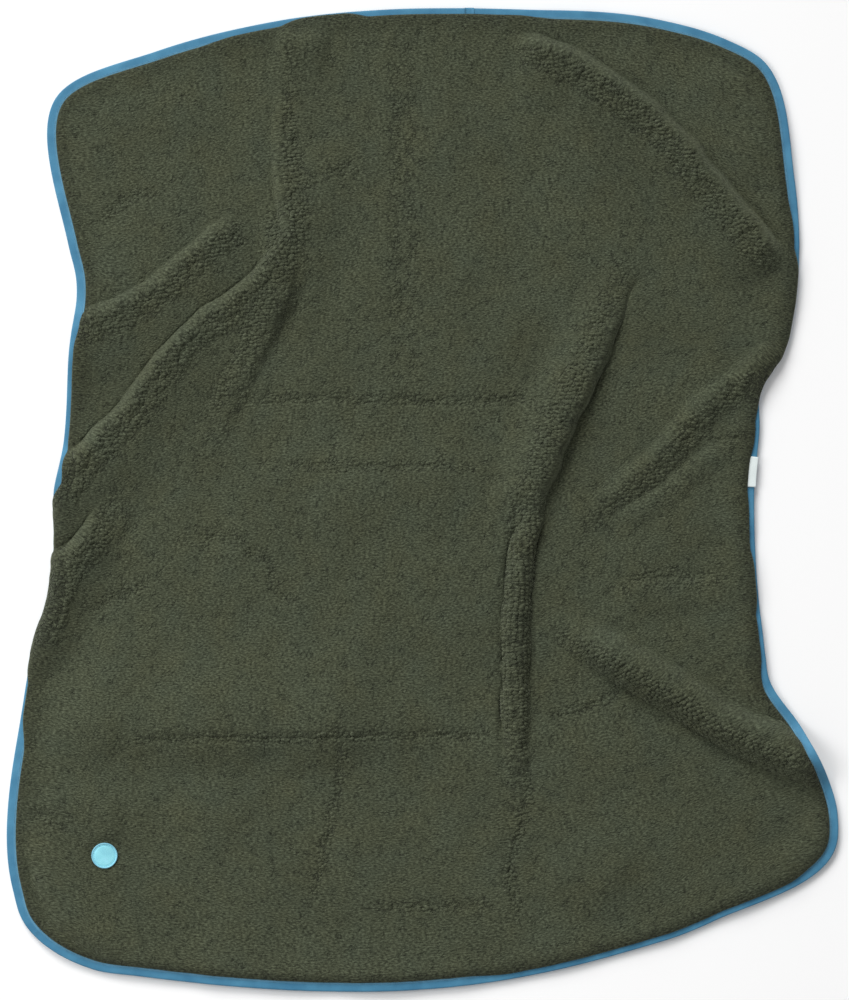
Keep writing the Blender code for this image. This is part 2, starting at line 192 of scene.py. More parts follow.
# %% Folds
def fold(height, left, right, rise, fall, lean, aside, opened, points, crest=0.0):
    """left and right are the widths seen when walking along the points. lean is how far the
    crest moves to the left for each metre of height, and aside how far the whole fold lies to
    the left of its points. opened is how open the pile is on the (left, right) flanks. crest is
    the share of the height that only a narrow ridge on top has: below zero it rounds the top."""
    return dict(
        height=height, left=left, right=right, rise=rise, fall=fall, lean=lean, aside=aside,
        opened=opened, crest=crest, points=np.array(points) * HALF_SIZE,
    )  # fmt: skip


FOLDS = (
    # The long fold from the head end to the left edge, and its branch down the middle.
    fold(0.023, 0.120, 0.016, 0.22, 0.0, 0.0, 0.003, (1.0, 0.0), (
        (-0.345, 0.96), (-0.345, 0.70), (-0.342, 0.514), (-0.390, 0.459), (-0.455, 0.409),
        (-0.553, 0.354), (-0.620, 0.291), (-0.671, 0.234), (-0.724, 0.173), (-0.791, 0.118),
        (-0.880, 0.035),
    ), crest=0.18),
    fold(0.0125, 0.026, 0.050, 0.25, 0.60, 0.3, 0.0, (0.4, 0.9), (
        (-0.325, 0.62), (-0.325, 0.508), (-0.385, 0.339), (-0.464, 0.203), (-0.540, 0.035),
    )),
    fold(0.017, 0.120, 0.015, 0.30, 0.0, 0.0, 0.003, (0.9, 0.0), (
        (-0.440, 0.58), (-0.474, 0.559), (-0.553, 0.504), (-0.620, 0.453), (-0.697, 0.409),
        (-0.784, 0.376), (-0.86, 0.345),
    ), crest=0.18),
    fold(0.023, 0.085, 0.015, 0.3, 0.0, 0.0, 0.003, (1.0, 0.0), (
        (-0.740, 0.05), (-0.803, -0.061), (-0.837, -0.100), (-0.870, -0.144), (-0.897, -0.189),
        (-0.925, -0.255),
    ), crest=0.18),
    # The fold across the upper right corner.
    fold(0.025, 0.021, 0.105, 0.20, 0.08, 0.0, -0.003, (0.0, 1.0), (
        (0.210, 0.93), (0.256, 0.927), (0.323, 0.909), (0.402, 0.874), (0.486, 0.827),
        (0.553, 0.783), (0.618, 0.728), (0.683, 0.661), (0.750, 0.593), (0.803, 0.543),
        (0.870, 0.472),
    ), crest=0.18),
    # The big fold down the right half: broad above, a narrow roll below.
    fold(0.026, 0.018, 0.080, 0.45, 0.40, 0.20, 0.0, (0.1, 1.0), (
        (0.540, 0.560), (0.486, 0.427), (0.438, 0.339), (0.390, 0.250), (0.342, 0.169),
        (0.300, 0.080), (0.265, 0.0), (0.243, -0.080), (0.235, -0.150),
    )),
    fold(0.020, 0.021, 0.021, 0.30, 0.45, 0.10, 0.0, (0.9, 0.9), (
        (0.285, 0.050), (0.265, 0.0), (0.240, -0.102), (0.225, -0.200), (0.222, -0.300),
        (0.222, -0.441), (0.226, -0.560), (0.228, -0.720),
    )),
    # The two low ridges that come in from the right edge.
    fold(0.0105, 0.045, 0.022, 0.0, 0.40, 0.0, -0.006, (0.85, 0.0), (
        (0.83, 0.285), (0.750, 0.234), (0.702, 0.207), (0.652, 0.167), (0.611, 0.124),
        (0.565, 0.079), (0.505, 0.041), (0.453, 0.006), (0.402, -0.033), (0.342, -0.061),
    ), crest=0.25),
    fold(0.006, 0.030, 0.018, 0.3, 0.4, 0.2, 0.0, (0.2, 0.1), (
        (0.80, 0.150), (0.683, 0.085), (0.585, 0.018), (0.505, -0.025), (0.430, -0.060),
    )),
    # The fold into the lower right corner.
    fold(0.028, 0.034, 0.042, 0.30, 0.0, 0.0, 0.0, (0.0, 1.0), (
        (0.300, -0.225), (0.388, -0.280), (0.453, -0.309), (0.541, -0.354), (0.618, -0.390),
        (0.709, -0.443), (0.786, -0.474), (0.882, -0.508), (0.950, -0.530),
    ), crest=-0.20),
    # Broad low swells.
    fold(0.017, 0.170, 0.090, 0.20, 0.40, 0.0, 0.0, (0.0, 0.0), (
        (-0.93, -0.42), (-0.60, -0.45), (-0.20, -0.45), (0.10, -0.40),
    )),
    fold(0.006, 0.090, 0.100, 0.30, 0.30, 0.0, 0.0, (0.0, 0.0), ((-0.35, 0.02), (0.20, 0.02))),
    fold(0.008, 0.110, 0.070, 0.30, 0.30, 0.0, 0.0, (0.0, 0.0), ((0.26, -0.75), (0.52, -0.78))),
    fold(0.009, 0.030, 0.055, 0.30, 0.30, 0.0, 0.0, (0.0, 0.0), ((-0.36, 0.925), (-0.22, 0.925))),
    fold(0.009, 0.060, 0.120, 0.30, 0.30, 0.0, 0.0, (0.0, 0.0), ((-0.93, -0.62), (-0.70, -0.66))),
    fold(0.005, 0.030, 0.050, 0.30, 0.30, 0.0, 0.0, (0.3, 0.0), ((0.433, -0.20), (0.77, -0.175))),
    # Corners that stand a little proud inside their binding.
    fold(0.011, 0.090, 0.024, 0.30, 0.30, 0.0, 0.0, (0.0, 0.0), (
        (-0.930, -0.64), (-0.910, -0.752), (-0.865, -0.833), (-0.774, -0.893), (-0.654, -0.915),
    )),
    fold(0.007, 0.022, 0.060, 0.30, 0.30, 0.0, 0.0, (0.0, 0.0), (
        (0.640, 0.894), (0.752, 0.843), (0.800, 0.752), (0.815, 0.65),
    )),
    fold(0.006, 0.024, 0.050, 0.30, 0.30, 0.0, 0.0, (0.0, 0.0), (
        (0.935, -0.600), (0.940, -0.691), (0.896, -0.732), (0.752, -0.793),
    )),
)  # fmt: skip

# %% [markdown]
# A crease is the same thing upside down, shallow and narrow, and left where the blanket lay
# folded in its packing or where a fold's foot presses into the pile. It never leans, and most
# creases open the pile on both banks, as they bend it apart.


# %% Creases
def crease(depth, left, right, rise, fall, opened, points):
    """A fold that is taken off the height. It neither leans nor lies beside its points."""
    return fold(depth, left, right, rise, fall, 0.0, 0.0, opened, points)


CREASES = (
    crease(0.005, 0.022, 0.026, 0.4, 0.5, (0.3, 0.5), (
        (-0.267, 0.498), (-0.296, 0.415), (-0.329, 0.348), (-0.363, 0.262),
    )),
    crease(0.004, 0.022, 0.024, 0.3, 0.4, (0.2, 0.4), (
        (-0.673, -0.010), (-0.704, -0.061), (-0.737, -0.110),
    )),
    crease(0.0065, 0.014, 0.014, 0.3, 0.2, (0.2, 0.0), (
        (0.366, -0.289), (0.430, -0.338), (0.505, -0.392), (0.585, -0.437), (0.666, -0.474),
        (0.740, -0.509), (0.806, -0.543), (0.870, -0.584), (0.925, -0.626),
    )),
    # The feet of the narrow roll, and a crease by the label.
    crease(0.0045, 0.010, 0.010, 0.15, 0.30, (0.2, 0.2), (
        (0.238, 0.02), (0.208, -0.10), (0.194, -0.20), (0.191, -0.35), (0.190, -0.48),
        (0.196, -0.60),
    )),
    crease(0.0050, 0.010, 0.010, 0.10, 0.30, (0.0, 0.0), (
        (0.522, 0.460), (0.496, 0.423), (0.455, 0.305), (0.385, 0.169), (0.316, 0.0),
        (0.272, -0.102), (0.259, -0.27), (0.262, -0.457), (0.262, -0.60),
    )),
    crease(0.0022, 0.010, 0.010, 0.20, 0.20, (0.8, 0.8), (
        (0.600, 0.150), (0.660, 0.142), (0.720, 0.122), (0.790, 0.130),
    )),
    crease(0.0036, 0.008, 0.010, 0.2, 0.2, (0.9, 0.9), (
        (-0.541, 0.207), (-0.20, 0.205), (0.10, 0.203), (0.309, 0.210),
    )),
    crease(0.0012, 0.010, 0.013, 0.3, 0.3, (0.6, 0.6), ((-0.41, 0.072), (-0.12, 0.070), (0.172, 0.072))),
    crease(0.0036, 0.008, 0.010, 0.2, 0.1, (0.9, 0.9), (
        (-0.760, -0.478), (-0.50, -0.480), (-0.10, -0.476), (0.184, -0.478),
    )),
    crease(0.0018, 0.011, 0.014, 0.2, 0.4, (0.8, 0.8), ((0.282, -0.431), (0.402, -0.415), (0.493, -0.386))),
    crease(0.0018, 0.010, 0.013, 0.3, 0.3, (0.7, 0.7), ((-0.165, -0.823), (0.02, -0.825), (0.21, -0.820))),
    crease(0.0014, 0.030, 0.030, 0.2, 0.3, (0.4, 0.4), ((-0.042, 0.955), (-0.045, 0.55), (-0.040, 0.163))),
    crease(0.0014, 0.012, 0.012, 0.3, 0.3, (0.7, 0.7), (
        (-0.224, -0.398), (-0.198, -0.482), (-0.198, -0.549), (-0.224, -0.659), (-0.258, -0.789),
        (-0.304, -0.888),
    )),
    crease(0.0022, 0.012, 0.012, 0.2, 0.3, (1.0, 1.0), (
        (0.236, -0.520), (0.251, -0.620), (0.224, -0.687), (0.210, -0.770), (0.224, -0.815),
        (0.205, -0.870),
    )),
    crease(0.0036, 0.008, 0.010, 0.3, 0.3, (1.0, 1.0), (
        (0.433, -0.167), (0.520, -0.159), (0.565, -0.148), (0.683, -0.154), (0.750, -0.138),
    )),
    crease(0.0016, 0.012, 0.012, 0.3, 0.3, (0.6, 0.6), (
        (-0.803, -0.224), (-0.750, -0.205), (-0.685, -0.177), (-0.620, -0.150),
    )),
    crease(0.0018, 0.012, 0.012, 0.3, 0.3, (0.6, 0.6), (
        (-0.620, -0.055), (-0.553, -0.083), (-0.489, -0.069), (-0.421, -0.100), (-0.369, -0.128),
        (-0.357, -0.173), (-0.316, -0.201), (-0.258, -0.224),
    )),
    crease(0.0016, 0.012, 0.012, 0.3, 0.3, (0.8, 0.8), ((-0.798, 0.553), (-0.719, 0.604), (-0.606, 0.638))),
    crease(0.0016, 0.012, 0.012, 0.3, 0.3, (0.8, 0.8), ((-0.289, 0.632), (-0.251, 0.654), (-0.133, 0.683))),
    crease(0.0026, 0.020, 0.020, 0.3, 0.3, (0.5, 0.5), (
        (-0.950, -0.638), (-0.913, -0.640), (-0.863, -0.654), (-0.830, -0.671),
    )),
)  # fmt: skip
print(len(FOLDS), "folds and", len(CREASES), "creases")

# %% [markdown]
# Each fold gives every point of the plan a height. It needs only how far the point is from the
# fold's line, on which side, and how far along. The heights of crossing folds are joined softly,
# so that a branch grows out of the fold it leaves and doesn't stand on top of it.


# %% How a fold lifts the cloth
def along_fold(plan, line):
    """For each plan point, the nearest place on the fold's line: how far off it is, negative on
    the right, how far along in shares of the line, and the line's left normal there."""
    step = np.diff(line, axis=0)
    square = (step**2).sum(axis=1)
    reach = plan[:, None] - line[None, :-1]
    share = np.clip((reach * step).sum(axis=2) / square, 0, 1)
    away = reach - share[..., None] * step
    near = (away**2).sum(axis=2).argmin(axis=1)
    rows = np.arange(len(plan))
    off, run = away[rows, near], step[near]
    left = np.stack([-run[:, 1], run[:, 0]], axis=1) / np.sqrt(square[near])[:, None]
    side = np.sign((off * left).sum(axis=1))
    return side * np.linalg.norm(off, axis=1), (near + share[rows, near]) / len(step), left


def ripples(plan, wavelength, seed, waves=14):
    """A smooth random surface about zero, nearly always between -1 and 1: plane waves in random
    directions, all near the given wavelength, summed and divided by the root of twice their
    number."""
    draw = np.random.default_rng(seed)
    turn, phase = draw.uniform(0, 2 * np.pi, (2, waves))
    number = 2 * np.pi / wavelength * draw.uniform(0.6, 1.5, waves)
    ahead = np.stack([np.cos(turn), np.sin(turn)]) * number
    return np.sin(plan @ ahead + phase).sum(axis=1) / np.sqrt(waves * 2)


WANDER = 0.0022  # how far a fold's line strays, in metres
CLOSE = 0.015  # how far from the crest the crest's own share of the height reaches
DEEPEST_FLANK = 0.040  # the pile opens within this distance of the crest
CREASE_OPENS = 0.80  # how open the pile is in a crease, against the same on a fold


def swell(plan, one):
    """(height, opened pile, left normal) that one fold gives each plan point. The section is
    (1 + cos(pi d / w)) / 2 for a distance d within the width w, and the ends ease in and out.
    The line itself wanders by a few millimetres, as a fold in a thick pile does. The crest's
    share of the height follows the same section, but close to the crest only. The pile opens
    along the flank, as exp(-x^2) of the distance from the flank's upper third."""
    height, opened = np.zeros(len(plan)), np.zeros(len(plan))
    left = np.zeros((len(plan), 2))
    line = smooth_curve(one["points"], False, 7)
    widest = max(one["left"], one["right"])
    near = ((plan > line.min(axis=0) - widest) & (plan < line.max(axis=0) + widest)).all(axis=1)
    off, along, left[near] = along_fold(plan[near], line)
    off = off - one["aside"] + WANDER * ripples(plan[near], 0.055, 7)
    width = np.where(off > 0, one["left"], one["right"])
    wide = (1 + np.cos(np.pi * np.minimum(np.abs(off) / width, 1))) / 2
    close = (1 + np.cos(np.pi * np.minimum(np.abs(off) / np.minimum(width, CLOSE), 1))) / 2
    section = (1 - one["crest"]) * wide + one["crest"] * close
    grow = np.clip(along / one["rise"], 0, 1) if one["rise"] else 1
    fade = np.clip((1 - along) / one["fall"], 0, 1) if one["fall"] else 1
    ends = (1 - np.cos(np.pi * grow * fade)) / 2
    height[near] = one["height"] * ends * section
    reach = np.minimum(width, DEEPEST_FLANK)
    flank = np.exp(-(((np.abs(off) - 0.38 * reach) / (0.42 * reach)) ** 2))
    opened[near] = np.where(off > 0, one["opened"][0], one["opened"][1]) * flank * np.sqrt(ends)
    return height, opened, left


def laid(plan):
    """(lifted points, opened pile) of the cloth's middle over plan points. Heights of several
    folds join as the cube root of their cubes' sum, two ripples keep the flat parts from being
    dead level, creases are then taken off, and a crest that leans shifts sideways by its lean
    times its height."""
    cubes, opened, shift = np.zeros(len(plan)), np.zeros(len(plan)), np.zeros((len(plan), 2))
    for one in FOLDS:
        height, loose, left = swell(plan, one)
        cubes += height**3
        opened = np.maximum(opened, loose)
        shift += left * (one["lean"] * height)[:, None]
    z = np.cbrt(cubes)
    z += 0.0016 * (ripples(plan, 0.16, 3) + 1) + 0.0006 * (ripples(plan, 0.06, 4) + 1)
    for one in CREASES:
        height, loose, _ = swell(plan, one)
        z -= height
        opened = np.maximum(opened, CREASE_OPENS * loose)
    return np.column_stack([plan + shift, np.maximum(z, 0) + LIFT]), opened


# %% [markdown]
# ## The edge, rolled and flat
#
# Near the edge the cloth is worked out ring by ring. Where a fold runs out over the edge, the
# bound strip rolls down on its outer side, so from above the tape turns edge-on and vanishes.
# Elsewhere the thick pile puffs out beside the seam and covers part of the tape. Both change
# along the edge, so each is a list of places with soft ends.


# %% Places along the edge
def beside_edge(places):
    """A value at every station: the largest of soft bumps, each given as (point on the edge in
    half sizes, half length, value). A bump keeps its value and then falls off as a cosine."""
    value = np.zeros(STATIONS)
    for point, reach, most in places:
        at = np.linalg.norm(edge - np.array(point) * HALF_SIZE, axis=1).argmin()
        away = np.abs(edge_run[:-1] - edge_run[at])
        away = np.minimum(away, edge_run[-1] - away)
        fall = np.clip((away - reach) / 0.070, 0, 1)
        value = np.maximum(value, most * (1 + np.cos(np.pi * fall)) / 2)
    return value


# How far the strip turns down, in degrees, and how far the pile covers the tape, in metres.
ROLLED = np.radians(beside_edge((
    ((-0.91, -0.17), 0.100, 62), ((0.885, 0.34), 0.070, 62), ((0.80, -0.16), 0.010, 40),
)))  # fmt: skip
COVERED = beside_edge((
    ((-0.91, -0.18), 0.125, 0.0138), ((-0.957, -0.39), 0.030, 0.0110),
    ((-0.238, 0.982), 0.026, 0.0125), ((-0.37, 0.97), 0.05, 0.0045),
    ((0.02, 0.99), 0.130, 0.0050), ((0.87, 0.33), 0.100, 0.0140), ((0.806, 0.17), 0.030, 0.0075),
    ((0.80, -0.07), 0.030, 0.0060), ((0.803, -0.165), 0.018, 0.0110), ((0.82, -0.28), 0.02, 0.0075),
    ((0.80, 0.06), 0.02, 0.0035), ((0.55, -0.91), 0.22, 0.0050), ((-0.865, 0.19), 0.085, 0.0072),
    ((0.892, 0.52), 0.015, 0.0060),
))  # fmt: skip
ROLL_RADIUS = 0.013
print(f"tape covered by up to {COVERED.max():.4f} m")

# %% [markdown]
# The cloth's edge is a set of rings, each at one distance in from the cut edge. Four lie under the
# tape. The others follow the pile as it comes out of the seam and swells over the tape. A strip
# that rolls keeps its length, so its rings move in and down round one arc.


# %% Rings of the edge strip
# Distances in from the cut edge along the cloth: four under the tape, the rest beside it.
TAPE_RINGS = np.array([0, 0.33, 0.67, 1.0]) * TAPE_WIDTH
PUFF_RINGS = TAPE_WIDTH + np.array([0.0006, 0.0014, 0.0028, 0.0050, 0.0080, 0.0115])
RING_DEPTHS = np.concatenate([TAPE_RINGS, PUFF_RINGS])
# Where the pile stands at those rings: its height, and how far it swells out over the tape.
PUFF_HEIGHT = np.concatenate([
    np.full(4, AIR + PILE_SEWN), [0.0040, 0.0056, 0.0076, 0.0092, 0.0102, 0.0105]
])
PUFF_OUT = np.zeros((len(RING_DEPTHS), STATIONS))
PUFF_OUT[4:] = np.array([0.92, 1.0, 0.96, 0.80, 0.55, 0.30])[:, None] * COVERED
PUFF_OUT[4:] += np.array([0.0003, 0.0012, 0.0012, 0.0004, 0, 0])[:, None]


def rolled_rings(tilt):
    """(distance in, drop) of each ring at each station. The strip runs straight down at the
    tilt for the tape's width, then turns level round an arc of the roll's radius, and then runs
    level to the shoulder."""
    depth = RING_DEPTHS[:, None]
    past = np.clip(depth - TAPE_WIDTH, 0, None)
    turned = np.minimum(past / ROLL_RADIUS, tilt)
    level = past - turned * ROLL_RADIUS
    strip = np.minimum(depth, TAPE_WIDTH)
    into = strip * np.cos(tilt) + ROLL_RADIUS * (np.sin(tilt) - np.sin(tilt - turned)) + level
    up = strip * np.sin(tilt) + ROLL_RADIUS * (np.cos(tilt - turned) - np.cos(tilt))
    rise = TAPE_WIDTH * np.sin(tilt) + ROLL_RADIUS * (1 - np.cos(tilt))
    return into, rise - up, tilt - turned


# A strip can't roll further down than the fold under it lifts it.
tilts = np.linspace(0, np.pi / 2, 60)
rises = TAPE_WIDTH * np.sin(tilts) + ROLL_RADIUS * (1 - np.cos(tilts))
STRIP_HEIGHT = laid(edge + normal * 0.015)[0][:, 2]
STRIP_HEIGHT = np.mean([np.roll(STRIP_HEIGHT, k) for k in range(-4, 5)], axis=0)
room = STRIP_HEIGHT - LIFT
ROLLED = np.minimum(ROLLED, np.interp(room, rises, tilts))
EDGE_OUT = TAPE + 2 * AIR
TAPE_TOP = AIR + PILE_SEWN + AIR + TAPE
into, drop, facing = rolled_rings(ROLLED)
# Whatever stands out farthest lies on the outline: the tape's outer corner or the pile.
set_in = EDGE_OUT * np.cos(ROLLED) + TAPE_TOP * np.sin(ROLLED)
pile_out = PUFF_HEIGHT[:, None] * np.sin(facing) + PUFF_OUT * np.cos(facing) - into
set_in = np.maximum(set_in, pile_out.max(axis=0))
into = into + set_in
print(f"rolled to {np.degrees(ROLLED.max()):.0f} degrees")

# %% [markdown]
# ## The cloth's middle surface
#
# Inside the shoulder the plan is a Coons patch: a point is the blend across plus the blend along,
# less the blend of the corners. The same grid laid on the cut outline gives each point its place
# on the flat cloth, which becomes the UV map, so pile and knit follow the cloth and not the air.


# %% The grid in plan
def coons(ring):
    """Inner rows of the patch between the ring's four sides, shape (rows, columns, 2)."""
    n, m = CELLS_ACROSS, CELLS_ALONG
    bottom, right = ring[: n + 1], ring[n : n + m + 1]
    top = ring[n + m : 2 * n + m + 1][::-1]
    left = np.vstack([ring[2 * n + m :], ring[:1]])[::-1]
    u = np.linspace(0, 1, n + 1)[None, :, None]
    v = np.linspace(0, 1, m + 1)[:, None, None]
    across, along = (1 - v) * bottom[None] + v * top[None], (1 - u) * left[:, None] + u * right[:, None]
    corners = (1 - v) * ((1 - u) * bottom[0] + u * bottom[-1]) + v * ((1 - u) * top[0] + u * top[-1])
    return (across + along - corners)[1:-1, 1:-1]


def bordered(inner, ring):
    """The inner rows with the ring round them, shape (rows + 2, columns + 2, ...)."""
    n, m = CELLS_ACROSS, CELLS_ALONG
    grid = np.zeros((m + 1, n + 1, *ring.shape[1:]), ring.dtype)
    grid[1:-1, 1:-1] = inner
    grid[0], grid[:, -1] = ring[: n + 1], ring[n : n + m + 1]
    grid[-1] = ring[n + m : 2 * n + m + 1][::-1]
    grid[:, 0] = np.concatenate([ring[2 * n + m :], ring[:1]])[::-1]
    return grid


def strip_quads(rows):
    """Quads between rings of ids, the first ring outermost, facing up."""
    return np.concatenate([
        np.stack([a, np.roll(a, -1), np.roll(b, -1), b], axis=1) for a, b in zip(rows, rows[1:])
    ])


def grid_quads(ids):
    """Quads between neighbours in rows and columns of ids, facing up."""
    return np.stack([ids[:-1, :-1], ids[:-1, 1:], ids[1:, 1:], ids[1:, :-1]], axis=-1).reshape(-1, 4)


def point_normals(points, quads):
    """The sum of the cross products of the diagonals of the quads round each point."""
    a, b, c, d = (points[quads[:, k]] for k in range(4))
    face = np.cross(c - a, d - b)
    total = np.stack([
        sum(np.bincount(quads[:, k], face[:, axis], len(points)) for k in range(4))
        for axis in range(3)
    ], axis=1)
    return total / np.maximum(np.linalg.norm(total, axis=1), 1e-12)[:, None]


# %% [markdown]
# The rings of the strip and the grid inside the shoulder are one list of points. The bound strip
# is stiff, so it keeps one height across, and the loose cloth beside it eases up to the folds.
# The normals of this surface say which way pile and knit stand from it.

# %% Middle surface
RINGS = len(RING_DEPTHS)
ring_plan = edge[None] + normal[None] * into[..., None]
shoulder = edge + normal * SHOULDER
cut_rings = cut_edge[None] + cut_normal[None] * RING_DEPTHS[:, None, None]
cut_shoulder = cut_edge + cut_normal * SHOULDER

plan = np.vstack([ring_plan.reshape(-1, 2), shoulder, coons(shoulder).reshape(-1, 2)])
cloth_uv = np.vstack([cut_rings.reshape(-1, 2), cut_shoulder, coons(cut_shoulder).reshape(-1, 2)])
middle, opened = laid(plan)
stiff = np.array([1, 1, 1, 1, 0.95, 0.9, 0.8, 0.65, 0.45, 0.2])[:, None]
loose_height = middle[: RINGS * STATIONS, 2].reshape(RINGS, STATIONS)
ring_height = stiff * STRIP_HEIGHT + (1 - stiff) * loose_height - drop
middle[: RINGS * STATIONS, 2] = ring_height.reshape(-1)
middle[:, 2] = np.maximum(middle[:, 2], LIFT)

ring_ids = np.arange((RINGS + 1) * STATIONS).reshape(RINGS + 1, STATIONS)
inner_ids = np.arange(ring_ids.size, len(plan)).reshape(CELLS_ALONG - 1, CELLS_ACROSS - 1)
grid_ids = bordered(inner_ids, ring_ids[-1])
top_quads = np.vstack([strip_quads(ring_ids), grid_quads(grid_ids)])

up = point_normals(middle, top_quads)
# The way out from each ring: across the cloth towards the edge.
ring_mid = middle[: RINGS * STATIONS].reshape(RINGS, STATIONS, 3)
ring_up = up[: RINGS * STATIONS].reshape(RINGS, STATIONS, 3)
flat_out = np.concatenate([-normal, np.zeros((STATIONS, 1))], axis=1)
ring_out = flat_out[None] * np.cos(facing)[..., None]
ring_out[..., 2] -= np.sin(facing)
print(f"{len(middle)} points, highest {middle[:, 2].max():.4f} m")

# %% [markdown]
# ## Meshes from arrays
#
# Every piece below is worked out as arrays of points and faces, and one helper turns those into a
# mesh. foreach_set hands Blender a whole array at once, which is far quicker than a point at a
# time. The UV map holds places on the flat cloth in metres, where a piece has one.


# %% Mesh helpers
def mesh_object(name, points, faces, uv=None, smooth=True):
    """A mesh from point and face arrays. faces is a list of arrays, of quads or triangles."""
    counts = np.concatenate([np.full(len(part), part.shape[1]) for part in faces])
    loops = np.concatenate([part.reshape(-1) for part in faces]).astype(np.int32)
    mesh = bpy.data.meshes.new(name)
    mesh.vertices.add(len(points))
    mesh.vertices.foreach_set("co", np.asarray(points, np.float32).reshape(-1))
    mesh.loops.add(len(loops))
    mesh.loops.foreach_set("vertex_index", loops)
    mesh.polygons.add(len(counts))
    starts = np.concatenate([[0], np.cumsum(counts)[:-1]]).astype(np.int32)
    mesh.polygons.foreach_set("loop_start", starts)
    mesh.polygons.foreach_set("loop_total", counts.astype(np.int32))
    mesh.update(calc_edges=True)
    mesh.validate()
    if smooth:
        mesh.shade_smooth()
    if uv is not None:
        layer = mesh.uv_layers.new(name="cloth")
        layer.data.foreach_set("uv", np.asarray(uv, np.float32)[loops].reshape(-1))
    piece = bpy.data.objects.new(name, mesh)
    bpy.context.scene.collection.objects.link(piece)
    print(f"{name}: {len(points)} points, {int((counts - 2).sum())} triangles")
    return piece


def point_values(piece, name, values):
    """One number for every point, which a material can read as an attribute."""
    made = piece.data.attributes.new(name, "FLOAT", "POINT")
    made.data.foreach_set("value", np.asarray(values, np.float32))


# %% [markdown]
# The undersides never show, so they are made from every second ring point and grid point: the
# cut edge, the tape's inner edge, the shoulder and the grid inside it.

# %% Coarse grid for undersides
coarse_rings = ring_ids[[0, 3, RINGS]][:, ::2]
coarse_grid = grid_ids[::2, ::2]
used = np.unique(np.concatenate([coarse_rings.reshape(-1), coarse_grid.reshape(-1)]))
renumber = np.full(len(plan), -1)
renumber[used] = np.arange(len(used))
coarse_quads = renumber[np.vstack([strip_quads(coarse_rings), grid_quads(coarse_grid)])]
coarse_rim = renumber[coarse_rings[0]]
sewn = used < 4 * STATIONS
print(f"{len(used)} of {len(plan)} points carry the undersides")

# %% [markdown]
# ## The pile panel
#
# The face is a sherpa-like pile fleece: a knit ground under a deep, curly pile. Its top surface
# is the middle surface moved out along its normals by the pile's depth, with soft lumps. Beside
# the tape the pile is pinched under the seam and then swells out over it, and the patch presses
# it down. Top and underside are sewn together along the cut edge.


# %% Pile panel
def pile_surface():
    """Top of the pile. A ring's height and its swelling out over the tape follow a rounded
    bead. Inside the shoulder the depth is the loose pile's, plus a bead that dies away as
    exp(-x), plus lumps that grow where the pile is open. Under the patch it is the patch's
    base, and a small swelling stands round that."""
    rings = ring_mid + ring_up * PUFF_HEIGHT[:, None, None] + ring_out * PUFF_OUT[..., None]
    away = np.linalg.norm(plan[RINGS * STATIONS :, None] - edge[None, ::6], axis=2).min(axis=1)
    bead = 0.0026 * np.exp(-((away - SHOULDER) / 0.018))
    lumps = 0.0005 * ripples(cloth_uv, 0.024, 8, 26) + 0.0004 * ripples(cloth_uv, 0.017, 9, 26)
    deep = PILE + bead + lumps[RINGS * STATIONS :] * (0.5 + 1.5 * opened[RINGS * STATIONS :])
    from_patch = np.linalg.norm(plan[RINGS * STATIONS :] - PATCH_AT, axis=1)
    pressed = np.clip((from_patch - PATCH_RADIUS - 0.0060) / 0.006, 0, 1)
    under_patch = PATCH_BASE - 0.0006
    deep = under_patch + (deep + 0.0012 * (pressed < 1) - under_patch) * pressed
    inner = middle[RINGS * STATIONS :] + up[RINGS * STATIONS :] * deep[:, None]
    bumps = lumps[4 * STATIONS : RINGS * STATIONS].reshape(RINGS - 4, STATIONS, 1)
    rings[4:] += ring_up[4:] * bumps * 0.6
    return np.vstack([rings.reshape(-1, 3), inner])


pile_uv = cloth_uv.copy()
pile_uv[: RINGS * STATIONS] -= (cut_normal[None] * PUFF_OUT[..., None]).reshape(-1, 2)
pile_top = pile_surface()
pile_under = middle[used] + up[used] * AIR
offset = len(pile_top)
under_quads = coarse_quads[:, ::-1] + offset
rim = ring_ids[0]
under_a, under_b = coarse_rim + offset, np.roll(coarse_rim, -1) + offset
top_a, top_b, top_c = rim[::2], rim[1::2], np.roll(rim, -2)[::2]
wall = np.concatenate([
    np.stack([under_a, under_b, top_b], axis=1),
    np.stack([under_a, top_b, top_a], axis=1),
    np.stack([under_b, top_c, top_b], axis=1),
])
pile_cloth = mesh_object(
    "pile_cloth", np.vstack([pile_top, pile_under]), [top_quads, under_quads, wall],
    uv=np.vstack([pile_uv, cloth_uv[used]]),
)  # fmt: skip
point_values(pile_cloth, "opened", np.concatenate([opened, opened[used]]))
# Painted shade beside the seam, where the pile is pinched: less and less over 13 mm, as exp(-x^2).
from_edge = np.linalg.norm(plan[:, None] - edge[None, ::4], axis=2).min(axis=1)
seam_shade = np.exp(-((np.maximum(from_edge - TAPE_WIDTH, 0) / 0.013) ** 2))
point_values(pile_cloth, "seam_shade", np.concatenate([seam_shade, seam_shade[used]]))

# %% [markdown]
# Where the cloth bends, the pile parts into clumps, and these stand up as small separate domes.
# There are thousands, so each has only a few faces. They sit on the pile's own points where it
# is open enough, moved a little at random so that no rows show. Where it is only just open they
# are small and low, so that they rise out of the smooth pile without a border.


# %% Clumps of parted pile
CLUMPS_FROM = 0.30  # how open the pile is where the first clumps stand up


